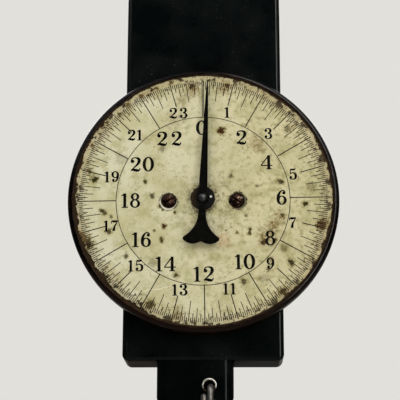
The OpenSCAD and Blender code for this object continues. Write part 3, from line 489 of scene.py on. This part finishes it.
def metal(name, light, dark, roughness, lumps, tarnish=None, share=0.0):
    """Metal that varies between two colours in lumps, with tarnish over a share of it."""
    f = Finish(name, light, metallic=1.0)
    tone = f.noise(lumps, 5)
    colour = f.mix(tone, dark, light)
    if tarnish:
        cover = f.patches(2.2 * MM, 5, 0.72 - share / 2, 0.9 - share / 2)
        colour = f.mix(cover, colour, tarnish)
    f.set("Base Color", colour)
    f.set("Roughness", f.plus(f.times(tone, 0.25), roughness))
    f.bump(f.noise(0.7 * MM, 4), 0.03 * MM)
    return f


def dial_screw_metal():
    """Browned steel with worn spots, and black painted down in the slots as shade."""
    f = metal("dial_screw_metal", srgb(40, 27, 20), srgb(5, 3, 2), roughness=0.26, lumps=1.6 * MM,
              tarnish=srgb(12, 6, 3), share=0.5)
    worn = f.times(f.patches(1.8 * MM, 3, 0.58, 0.68), 0.45)
    colour = f.mix(worn, f.source("Base Color"), srgb(130, 114, 102))
    # Painted shade: black down in each screw's slot.
    slot_shade_depth = f.ramp(f.axis("Y"), SCREWS_LOW.y + 0.3 * HEAD_H, SCREWS_LOW.y + 0.45 * HEAD_H)
    for middle in (LEFT_SCREW, RIGHT_SCREW):
        in_slot = f.ramp(f.distance(middle), 0.75 * HEAD_R, 0.65 * HEAD_R)
        colour = f.mix(f.times(slot_shade_depth, in_slot), colour, srgb(2, 1, 1))
    f.set("Base Color", colour)
    return f


def eyelet_metal():
    """Bright rolled lip, its lower half painted dark brown as shade."""
    f = metal("eyelet_metal", srgb(146, 144, 138), srgb(92, 89, 83), roughness=0.3, lumps=3 * MM,
              tarnish=srgb(56, 50, 41), share=0.2)
    low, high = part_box("hook_eyelet")
    middle = (low.z + high.z) / 2
    # Painted shade: the lip's lower half darkened to brown.
    lower_half_shade = f.ramp(f.axis("Z"), middle - 0.5 * MM, middle - 2.5 * MM)
    f.set("Base Color", f.mix(lower_half_shade, f.source("Base Color"), srgb(30, 22, 15)))
    return f


def assign(finish, *nodes):
    """Gives a finish to nodes of the CAD."""
    for name in nodes:
        mesh = frame["nodes"][name].data
        mesh.materials.clear()
        mesh.materials.append(finish.material)


def add_piece(name, mesh, finish, body):
    """A new piece that rides on a body."""
    mesh.materials.append(finish.material)
    piece = bpy.data.objects.new(name, mesh)
    bpy.context.scene.collection.objects.link(piece)
    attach(piece, body)
    return piece


# Dial sheet
HUB_HOLE_R = 6.5 * MM
SEGMENTS = 360
FINE_STEP = 0.55 * MM
COARSE_STEP = 2.6 * MM


def groove_depth(point):
    """Depth of the pressed groove round each dial screw."""
    for middle in GROOVES:
        share = ((point - middle).length - GROOVE_IN) / (GROOVE_OUT - GROOVE_IN)
        if 0 < share < 1:
            return GROOVE_DEPTH * math.sin(math.pi * share) ** 2
    return 0.0


def ring_radii():
    """Radii of the sheet's rings, close together where the grooves are."""
    fine_from = GROOVES[1].x - GROOVE_OUT - MM
    fine_to = GROOVES[1].x + GROOVE_OUT + 2 * MM
    radii = [HUB_HOLE_R]
    while radii[-1] < SHEET_R:
        step = FINE_STEP if fine_from < radii[-1] < fine_to else COARSE_STEP
        radii.append(min(radii[-1] + step, SHEET_R))
    return radii


def sheet_rings(bm):
    """Rings of corners from the hub's hole, which is round DIAL, to the edge, which is round SHEET."""
    rings = []
    for radius in ring_radii():
        middle = DIAL.lerp(SHEET, (radius - HUB_HOLE_R) / (SHEET_R - HUB_HOLE_R))
        ring = []
        for i in range(SEGMENTS):
            angle = 2 * math.pi * i / SEGMENTS
            point = middle + Vector((math.sin(angle), 0, math.cos(angle))) * radius
            point.y += groove_depth(point)
            ring.append(bm.verts.new(point))
        rings.append(ring)
    return rings


def dial_sheet(finish):
    """The dial sheet with its pressed grooves, in place of the CAD's flat one."""
    bm = bmesh.new()
    rings = sheet_rings(bm)
    for inner, outer in zip(rings, rings[1:]):
        for i in range(SEGMENTS):
            j = (i + 1) % SEGMENTS
            bm.faces.new((inner[i], inner[j], outer[j], outer[i]))
    mesh = bpy.data.meshes.new("dial_sheet")
    bm.to_mesh(mesh)
    bm.free()
    mesh.shade_smooth()
    sheet = add_piece("dial_sheet", mesh, finish, "case")
    solid = sheet.modifiers.new("thickness", "SOLIDIFY")
    solid.thickness = SHEET_T
    solid.offset = 1 if mesh.polygons[0].normal.y > 0 else -1
    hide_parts("dial_plate")


# Printing: closed slabs a few hundredths of a millimetre high, in layers where they may cross
PRINT_TURN = math.radians(0.8)
CIRCLE_R = 65.6 * MM
FULL_LOAD = 24
OUNCES = 16
INK_SINK = 0.02 * MM
INK_LIFT = 0.03 * MM
LAYERS = 5
LAYER_LIFT = 0.006 * MM


class Print:
    """Collects slabs of ink, and makes one mesh of them."""

    def __init__(self, shift=(0, 0)):
        self.bm = bmesh.new()
        self.slabs = 0
        self.middle = beside(DIAL, *shift)

    def place(self, x, z, back):
        """A point of the dial, turned as the printing is."""
        turned_x = x * math.cos(PRINT_TURN) - z * math.sin(PRINT_TURN)
        turned_z = x * math.sin(PRINT_TURN) + z * math.cos(PRINT_TURN)
        lift = -INK_SINK if back else INK_LIFT + self.slabs % LAYERS * LAYER_LIFT
        return self.bm.verts.new(self.middle + Vector((turned_x, -lift, turned_z)))

    def band(self, left, right, closed=False):
        """A slab between two lines with as many points."""
        rows = [[self.place(*p, back) for p in line] for back in (False, True) for line in (left, right)]
        front_left, front_right, back_left, back_right = rows
        around = [(front_left, front_right), (back_right, back_left),
                  (back_left, front_left), (front_right, back_right)]
        count = len(left)
        for first, second in around:
            for i in range(count if closed else count - 1):
                j = (i + 1) % count
                self.bm.faces.new((first[i], first[j], second[j], second[i]))
        if not closed:
            for i in (0, count - 1):
                self.bm.faces.new((front_left[i], front_right[i], back_right[i], back_left[i]))
        self.slabs += 1

    def disc(self, x, z, radius, steps=20):
        """A round slab."""
        angles = [2 * math.pi * i / steps for i in range(steps)]
        rim = [(x + radius * math.cos(a), z + radius * math.sin(a)) for a in angles]
        front = [self.place(*p, False) for p in rim]
        back = [self.place(*p, True) for p in rim]
        self.bm.faces.new(front)
        self.bm.faces.new(back)
        for i in range(steps):
            j = (i + 1) % steps
            self.bm.faces.new((front[i], front[j], back[j], back[i]))
        self.slabs += 1

    def ring(self, x, z, outer, inner, steps=40):
        """A slab between two ellipses, each a pair of half axes."""
        angles = [2 * math.pi * i / steps for i in range(steps)]
        lines = [[(x + rx * math.cos(a), z + rz * math.sin(a)) for a in angles] for rx, rz in (outer, inner)]
        self.band(*lines, closed=True)

    def stroke(self, knots):
        """A stroke through knots of x, z and width."""
        points = smooth_line(knots)
        left, right = [], []
        for i, p in enumerate(points):
            along = points[min(i + 1, len(points) - 1)] - points[max(i - 1, 0)]
            across = Vector((-along.y, along.x)).normalized() * p.z / 2
            left.append((p.x + across.x, p.y + across.y))
            right.append((p.x - across.x, p.y - across.y))
        self.band(left, right)

    def make(self, name, finish):
        """The slabs so far as one piece on the case."""
        bmesh.ops.recalc_face_normals(self.bm, faces=self.bm.faces[:])
        mesh = bpy.data.meshes.new(name)
        self.bm.to_mesh(mesh)
        self.bm.free()
        add_piece(name, mesh, finish, "case")


def smooth_line(knots, steps=6):
    """Points of a smooth line through the knots, width included. Two knots give a straight line."""
    knots = [Vector(k) for k in knots]
    if len(knots) == 2:
        return knots
    padded = [2 * knots[0] - knots[1], *knots, 2 * knots[-1] - knots[-2]]
    points = []
    for a, b, c, d in zip(padded, padded[1:], padded[2:], padded[3:]):
        for i in range(steps):
            t = i / steps
            points.append((2 * b + (c - a) * t + (2 * a - 5 * b + 4 * c - d) * t * t
                           + (3 * b - a - 3 * c + d) * t ** 3) / 2)
    return [*points, knots[-1]]


# Numerals in an upright book style, with strong stems and thin hairlines. Each is 1 high: its
# width, strokes through knots of x, z and width, balls of x, z and radius, and rings of x, z and
# the outer and inner half axes.
NUMERALS = {
    "0": (0.75, [], [], [(0.375, 0.5, (0.375, 0.51), (0.185, 0.455))]),
    "1": (0.5, [
        [(0.25, 0, 0.17), (0.25, 1, 0.17)],
        [(0.04, 0.02, 0.04), (0.46, 0.02, 0.04)],
        [(0.25, 0.98, 0.06), (0.15, 0.89, 0.07), (0.02, 0.85, 0.03)],
    ], [], []),
    "2": (0.7, [
        [(0.06, 0.76, 0.05), (0.14, 0.92, 0.05), (0.33, 0.975, 0.05), (0.55, 0.9, 0.15),
         (0.6, 0.72, 0.19), (0.5, 0.52, 0.13), (0.28, 0.3, 0.06), (0.08, 0.1, 0.05)],
        [(0.05, 0.06, 0.05), (0.15, 0.13, 0.12), (0.33, 0.1, 0.17), (0.52, 0.07, 0.15),
         (0.63, 0.12, 0.06), (0.66, 0.24, 0.04)],
    ], [(0.15, 0.72, 0.11)], []),
    "3": (0.68, [
        [(0.06, 0.8, 0.05), (0.14, 0.93, 0.05), (0.31, 0.975, 0.05), (0.51, 0.92, 0.13),
         (0.56, 0.76, 0.18), (0.48, 0.6, 0.12), (0.3, 0.535, 0.045)],
        [(0.3, 0.535, 0.045), (0.5, 0.48, 0.1), (0.61, 0.28, 0.19), (0.53, 0.08, 0.13),
         (0.33, 0.02, 0.05), (0.13, 0.07, 0.05), (0.05, 0.2, 0.05)],
    ], [(0.15, 0.78, 0.1), (0.15, 0.22, 0.105)], []),
    "4": (0.82, [
        [(0.56, 0.98, 0.05), (0.03, 0.28, 0.045)],
        [(0.02, 0.265, 0.045), (0.8, 0.265, 0.045)],
        [(0.55, 0.98, 0.17), (0.55, 0.02, 0.17)],
        [(0.37, 0.02, 0.04), (0.74, 0.02, 0.04)],
    ], [], []),
    "5": (0.66, [
        [(0.13, 0.95, 0.1), (0.3, 0.92, 0.13), (0.5, 0.95, 0.1), (0.58, 1, 0.04)],
        [(0.13, 0.97, 0.045), (0.1, 0.5, 0.045)],
        [(0.1, 0.5, 0.045), (0.2, 0.59, 0.05), (0.35, 0.62, 0.06), (0.54, 0.53, 0.15),
         (0.6, 0.32, 0.19), (0.53, 0.09, 0.13), (0.33, 0.02, 0.05), (0.13, 0.07, 0.05),
         (0.05, 0.2, 0.05)],
    ], [(0.15, 0.21, 0.1)], []),
    "6": (0.7, [
        [(0.13, 0.32, 0.19), (0.15, 0.62, 0.17), (0.28, 0.88, 0.09), (0.44, 0.975, 0.05),
         (0.57, 0.92, 0.05), (0.6, 0.82, 0.05)],
    ], [(0.53, 0.8, 0.095)], [(0.37, 0.3, (0.325, 0.31), (0.155, 0.26))]),
    "7": (0.68, [
        [(0.05, 0.72, 0.04), (0.07, 0.88, 0.05), (0.14, 0.93, 0.12), (0.3, 0.91, 0.16),
         (0.48, 0.93, 0.13), (0.62, 0.985, 0.05)],
        [(0.63, 0.98, 0.045), (0.5, 0.72, 0.06), (0.34, 0.42, 0.13), (0.28, 0.12, 0.21),
         (0.28, 0.03, 0.19)],
    ], [], []),
    "8": (0.72, [], [], [
        (0.36, 0.755, (0.27, 0.24), (0.13, 0.19)),
        (0.36, 0.275, (0.33, 0.285), (0.17, 0.235)),
    ]),
}


def half_turned(numeral):
    """The same numeral turned upside down, as a 9 is a 6."""
    width, strokes, balls, rings = numeral
    return (
        width,
        [[(width - x, 1 - z, w) for x, z, w in knots] for knots in strokes],
        [(width - x, 1 - z, r) for x, z, r in balls],
        [(width - x, 1 - z, outer, inner) for x, z, outer, inner in rings],
    )


NUMERALS["9"] = half_turned(NUMERALS["6"])

# Where each number stands: its offset in millimetres from its place on the circle
LARGE_NUMBERS = {
    0: (-0.2, -0.9), 2: (1.2, -1.7), 4: (-0.9, -0.7), 6: (1.8, 0.1), 8: (0.3, -2.4), 10: (2.0, 0.7),
    12: (-0.1, -0.5), 14: (0.5, 0.1), 16: (3.3, -2.0), 18: (3.0, -0.2), 20: (3.9, -0.6), 22: (3.6, -1.6),
}
SMALL_NUMBERS = {
    1: (1.3, 0.6), 3: (0.8, 1.1), 5: (0.5, 0), 7: (-0.7, -1.7), 9: (0.2, -1.0), 11: (0.8, -1.6),
    13: (0.1, -1.7), 15: (-1.2, -1.0), 17: (-1.5, -1.6), 19: (-1.0, 0.5), 21: (-1.6, 1.9), 23: (0.1, 0.8),
}
LARGE_H = 11.2 * MM
SMALL_H = 8.4 * MM
LARGE_R = 0.875 * CIRCLE_R
SMALL_R = 1.07 * CIRCLE_R
# Space between two digits, in heights: the usual one, and that of numbers set apart from it
DIGIT_GAP = 0.15
DIGIT_GAPS = {"10": 0.1, "14": 0.07, "16": 0.08, "18": 0.08, "22": 0.28, "23": 0.24}
# How far the ink has spread past each edge of a stroke
SPREAD = 0.18 * MM


def print_number(number, offset, radius, height, finish):
    """A number of the dial, its middle beside its place on a circle."""
    text = str(number)
    angle = 2 * math.pi * number / FULL_LOAD
    gap = DIGIT_GAPS.get(text, DIGIT_GAP)
    width = sum(NUMERALS[digit][0] for digit in text) + gap * (len(text) - 1)
    x = radius * math.sin(angle) + offset[0] * MM - width * height / 2
    z = radius * math.cos(angle) + offset[1] * MM - height / 2
    ink = Print()
    for digit in text:
        digit_w, strokes, balls, rings = NUMERALS[digit]
        for knots in strokes:
            ink.stroke([(x + kx * height, z + kz * height, w * height + 2 * SPREAD) for kx, kz, w in knots])
        for bx, bz, r in balls:
            ink.disc(x + bx * height, z + bz * height, r * height + SPREAD)
        for rx, rz, outer, inner in rings:
            ink.ring(x + rx * height, z + rz * height,
                     [v * height + SPREAD for v in outer], [v * height - SPREAD for v in inner])
        x += (digit_w + gap) * height
    ink.make(f"number_{number}", finish)


# Graduations: how far in and out each kind reaches, in radii of the printed circle
MARK_OUT = 1.435
LONG_MARK_OUT = 1.45
EVEN_POUND_IN = 1.0
ODD_POUND_IN = 1.165
OUNCE_MARKS = [(8, 1.195), (4, 1.27), (2, 1.335), (1, 1.385)]
# Widths of the lines
POUND_LINE = 0.75 * MM
OUNCE_LINE = 0.57 * MM
CIRCLE_LINE = 0.56 * MM
# Zero has two thin lines, shifted sideways by these
ZERO_LINES = (0.15 * MM, 1.2 * MM)
# The circle and the graduations were printed a little off the pointer's centre: x and z in millimetres
CIRCLE_SHIFT = (0.15, -0.75)
MARKS_SHIFT = (0.4, -0.2)


def radial_mark(ink, angle, inner, outer, line, shift=0.0):
    """A thin bar along a radius, shifted sideways."""
    out = Vector((math.sin(angle), math.cos(angle)))
    side = Vector((out.y, -out.x))
    ends = [out * inner + side * shift, out * outer + side * shift]
    left, right = [[tuple(end + side * s * line / 2) for end in ends] for s in (-1, 1)]
    ink.band(left, right)


def print_graduations(finish):
    """A mark for each ounce, longer for quarters, halves and whole pounds, and two lines at zero."""
    ink = Print(MARKS_SHIFT)
    for ounce in range(1, FULL_LOAD * OUNCES):
        angle = 2 * math.pi * ounce / (FULL_LOAD * OUNCES)
        if ounce % (2 * OUNCES) == 0:
            radial_mark(ink, angle, EVEN_POUND_IN * CIRCLE_R, LONG_MARK_OUT * CIRCLE_R, POUND_LINE)
        elif ounce % OUNCES == 0:
            radial_mark(ink, angle, ODD_POUND_IN * CIRCLE_R, LONG_MARK_OUT * CIRCLE_R, POUND_LINE)
        else:
            inner = next(reach for step, reach in OUNCE_MARKS if ounce % step == 0)
            radial_mark(ink, angle, inner * CIRCLE_R, MARK_OUT * CIRCLE_R, OUNCE_LINE)
    for shift in ZERO_LINES:
        radial_mark(ink, 0, CIRCLE_R, LONG_MARK_OUT * CIRCLE_R, OUNCE_LINE, shift)
    ink.make("graduations", finish)


def print_circle(finish):
    """The circle at which the marks of the even pounds begin."""
    ink = Print(CIRCLE_SHIFT)
    outer, inner = CIRCLE_R + CIRCLE_LINE / 2, CIRCLE_R - CIRCLE_LINE / 2
    ink.ring(0, 0, (outer, outer), (inner, inner), steps=180)
    ink.make("printed_circle", finish)


# Springs: corners of the CAD wire closer than this are one
WELD = 0.001 * MM


def cut_wire(bm, height, upward):
    """Takes off a wire's part above a height, or below it, and closes the cut."""
    everything = bm.verts[:] + bm.edges[:] + bm.faces[:]
    cut = bmesh.ops.bisect_plane(bm, geom=everything, plane_co=(0, 0, height), plane_no=(0, 0, 1),
                                 clear_outer=upward, clear_inner=not upward)
    rim = [part for part in cut["geom_cut"] if isinstance(part, bmesh.types.BMEdge)]
    bmesh.ops.holes_fill(bm, edges=rim)


def spring_half(node, finish, suffix, top, bottom):
    """The part of a spring's CAD wire between two heights, smoothed."""
    mesh = frame["nodes"][node].data.copy()
    mesh.materials.clear()
    bm = bmesh.new()
    bm.from_mesh(mesh)
    bmesh.ops.remove_doubles(bm, verts=bm.verts[:], dist=WELD)
    low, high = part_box(node)
    if top < high.z:
        cut_wire(bm, top, upward=True)
    if bottom > low.z:
        cut_wire(bm, bottom, upward=False)
    bm.to_mesh(mesh)
    bm.free()
    mesh.shade_smooth()
    mesh.materials.append(finish.material)
    wire = bpy.data.objects.new(node + suffix, mesh)
    bpy.context.scene.collection.objects.link(wire)
    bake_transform(wire)
    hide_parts(node)


def stretching_spring(node, finish):
    """A spring in two halves, cut at its middle height."""
    low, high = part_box(node)
    middle = (low.z + high.z) / 2
    spring_half(node, finish, "_upper", high.z, middle)
    spring_half(node, finish, "_lower", middle, low.z)


# Dress the part
steel = metal("plain_steel", srgb(176, 173, 168), srgb(120, 116, 110), roughness=0.3, lumps=4 * MM,
              tarnish=srgb(96, 70, 50), share=0.1)
zinc = metal("zinc_plate", srgb(184, 184, 180), srgb(140, 140, 136), roughness=0.38, lumps=6 * MM,
             tarnish=srgb(120, 116, 100), share=0.2)
brass = metal("brass", srgb(196, 158, 84), srgb(134, 100, 48), roughness=0.3, lumps=5 * MM,
              tarnish=srgb(84, 66, 34), share=0.15)
browned_steel = metal("screw_metal", srgb(50, 31, 23), srgb(9, 5, 3), roughness=0.26, lumps=1.6 * MM,
                      tarnish=srgb(20, 9, 5), share=0.5)
hook_steel = metal("hook_metal", srgb(100, 98, 94), srgb(45, 42, 39), roughness=0.36, lumps=5 * MM,
                   tarnish=srgb(54, 42, 32), share=0.2)
blued_steel = metal("nut_metal", srgb(62, 64, 66), srgb(14, 14, 15), roughness=0.3, lumps=2 * MM)

assign(case_enamel(), "case_shell")
assign(enamel(), "case_back", "hanger_strap", "channel_tie")
assign(enamel("dulled_enamel", specular=0.02), "load_channel")
assign(rim_enamel(), "dial_rim")
assign(pointer_paint(), "pointer")
assign(hub_paint(), "pointer_hub")
assign(blued_steel, "pointer_nut")
assign(dial_screw_metal(), "dial_screws")
assign(browned_steel, "case_screws", "bridge_screws")
assign(eyelet_metal(), "hook_eyelet")
assign(hook_steel, "load_hook")
assign(steel, "hanger_rivets", "upper_spring_bar", "lower_spring_bar", "rack", "rack_rivets",
       "guide_rivets", "stop_pin", "arbor")
assign(zinc, "top_anchor", "zero_screw", "zero_washer", "bottom_guide", "side_guide_left",
       "side_guide_right", "arbor_bridge", "dial_post_left", "dial_post_right")
assign(brass, "zero_nut", "front_bush", "rear_bush", "pinion")

dial_sheet(dial_paint())
ink = dial_ink()
print_circle(ink)
print_graduations(ink)
for number, offset in LARGE_NUMBERS.items():
    print_number(number, offset, LARGE_R, LARGE_H, ink)
for number, offset in SMALL_NUMBERS.items():
    print_number(number, offset, SMALL_R, SMALL_H, ink)
for node in ("spring_left", "spring_right"):
    stretching_spring(node, steel)


# Stage
PALE = srgb(226, 224, 219)
WHITE = (1, 1, 1, 1)
FLOOR_Z = -0.62
FLOOR_SIZE = 6.0
FLOOR_LUMPS = 0.3
EVEN_LIGHT = 0.4
SIDE_GLOW = 0.3
FRONT_GLOW = 0.03
WINDOW_AT = math.radians(20)
WINDOW_HALF = math.sin(math.radians(4))
WINDOW_FADE = 0.01
WINDOW_GLOW = 60
# Lamps: azimuth and elevation in degrees, distance, width and height in metres, power in watts
LAMPS = {
    "key": (-42, 48, 1.6, 1.3, 1.3, 19),
    "fill": (50, 30, 1.8, 0.5, 1.2, 10.5),
    "back_left": (-140, 40, 1.8, 0.8, 0.8, 10.5),
    "back_right": (140, 40, 1.8, 0.8, 0.8, 10.5),
}


def floor():
    """A pale floor below the scale."""
    f = Finish("pale_floor", PALE, 0.7, specular=0.2)
    f.set("Base Color", f.mix(f.noise(FLOOR_LUMPS, 3), srgb(222, 220, 214), srgb(230, 228, 224)))
    bpy.ops.mesh.primitive_plane_add(size=FLOOR_SIZE, location=(0, 0, FLOOR_Z))
    plane = bpy.context.object
    plane.name = "floor"
    plane.data.materials.append(f.material)


def mirrored_glow(nodes):
    """How bright reflections are: pale all round but for the dim side that the dial faces,
    with a tall bright window in it to the right."""
    direction = nodes.add("ShaderNodeTexCoord").outputs["Generated"]

    def towards(axis):
        """How far a ray goes along an axis."""
        return nodes.vector("DOT_PRODUCT", direction, axis, result="Value")

    dim = nodes.ramp(towards((0, -1, 0.1)), 0.35, 0.9, SIDE_GLOW, FRONT_GLOW)
    across = towards((math.cos(WINDOW_AT), math.sin(WINDOW_AT), 0))
    past_left = nodes.ramp(across, -WINDOW_HALF - WINDOW_FADE, -WINDOW_HALF, 0, WINDOW_GLOW)
    short_of_right = nodes.ramp(across, WINDOW_HALF, WINDOW_HALF + WINDOW_FADE, 1, 0)
    in_front = nodes.ramp(towards((0, -1, 0)), 0.4, 0.5)
    return nodes.plus(dim, nodes.times(past_left, short_of_right, in_front))


def background(nodes, colour, strength):
    """A plain shader of the world."""
    return nodes.add("ShaderNodeBackground", {"Color": colour, "Strength": strength}).outputs[0]


def either(nodes, which, first, second):
    """The first shader for rays where which is 0, and the second where it is 1."""
    return nodes.add("ShaderNodeMixShader", {0: which, 1: first, 2: second}).outputs[0]


def world():
    """Pale for the camera, an even light for surfaces, and a glow of its own for reflections."""
    made = bpy.data.worlds.new("studio")
    bpy.context.scene.world = made
    made.use_nodes = True
    made.node_tree.nodes.clear()
    nodes = Nodes(made.node_tree)
    rays = nodes.add("ShaderNodeLightPath")
    even = background(nodes, WHITE, EVEN_LIGHT)
    mirrored = background(nodes, PALE, mirrored_glow(nodes))
    seen = background(nodes, PALE, 1.0)
    lit = either(nodes, rays.outputs["Is Glossy Ray"], even, mirrored)
    result = either(nodes, rays.outputs["Is Camera Ray"], lit, seen)
    nodes.add("ShaderNodeOutputWorld", {"Surface": result})


def lamp(name, azimuth, elevation, distance, width, height, power):
    """A soft lamp that looks at the dial, azimuth 0 in front and 90 to the right."""
    data = bpy.data.lights.new(name, "AREA")
    data.shape = "RECTANGLE"
    data.size = width
    data.size_y = height
    data.energy = power
    a, e = math.radians(azimuth), math.radians(elevation)
    back = Vector((math.sin(a) * math.cos(e), -math.cos(a) * math.cos(e), math.sin(e)))
    made = bpy.data.objects.new(name, data)
    made.location = DIAL + back * distance
    made.rotation_euler = back.to_track_quat("Z", "Y").to_euler()
    bpy.context.scene.collection.objects.link(made)


floor()
world()
for name, settings in LAMPS.items():
    lamp(name, *settings)

# Camera: below the dial and a little to the right, looking up at it. Lens and sensor in millimetres
CAMERA_PLACE = Vector((24.1, -1025, -479.2)) * MM
CAMERA_YAW = math.radians(-1.5245)
CAMERA_PITCH = math.radians(15.329)
CAMERA_ROLL = math.radians(0.128)
CAMERA_LENS = 121.87
CAMERA_SENSOR = 36


def camera():
    """The camera of the photo's view."""
    ahead = Vector((
        math.sin(CAMERA_YAW) * math.cos(CAMERA_PITCH),
        math.cos(CAMERA_YAW) * math.cos(CAMERA_PITCH),
        math.sin(CAMERA_PITCH),
    ))
    level = Vector((math.cos(CAMERA_YAW), -math.sin(CAMERA_YAW), 0))
    upright = level.cross(ahead)
    right = level * math.cos(CAMERA_ROLL) + upright * math.sin(CAMERA_ROLL)
    up = upright * math.cos(CAMERA_ROLL) - level * math.sin(CAMERA_ROLL)
    turn = Matrix((right, up, -ahead)).transposed().to_4x4()
    data = bpy.data.cameras.new("camera")
    data.sensor_width = CAMERA_SENSOR
    data.lens = CAMERA_LENS
    made = bpy.data.objects.new("camera", data)
    made.matrix_world = Matrix.Translation(CAMERA_PLACE) @ turn
    bpy.context.scene.collection.objects.link(made)
    bpy.context.scene.camera = made


camera()
bpy.context.scene.view_settings.view_transform = "Standard"
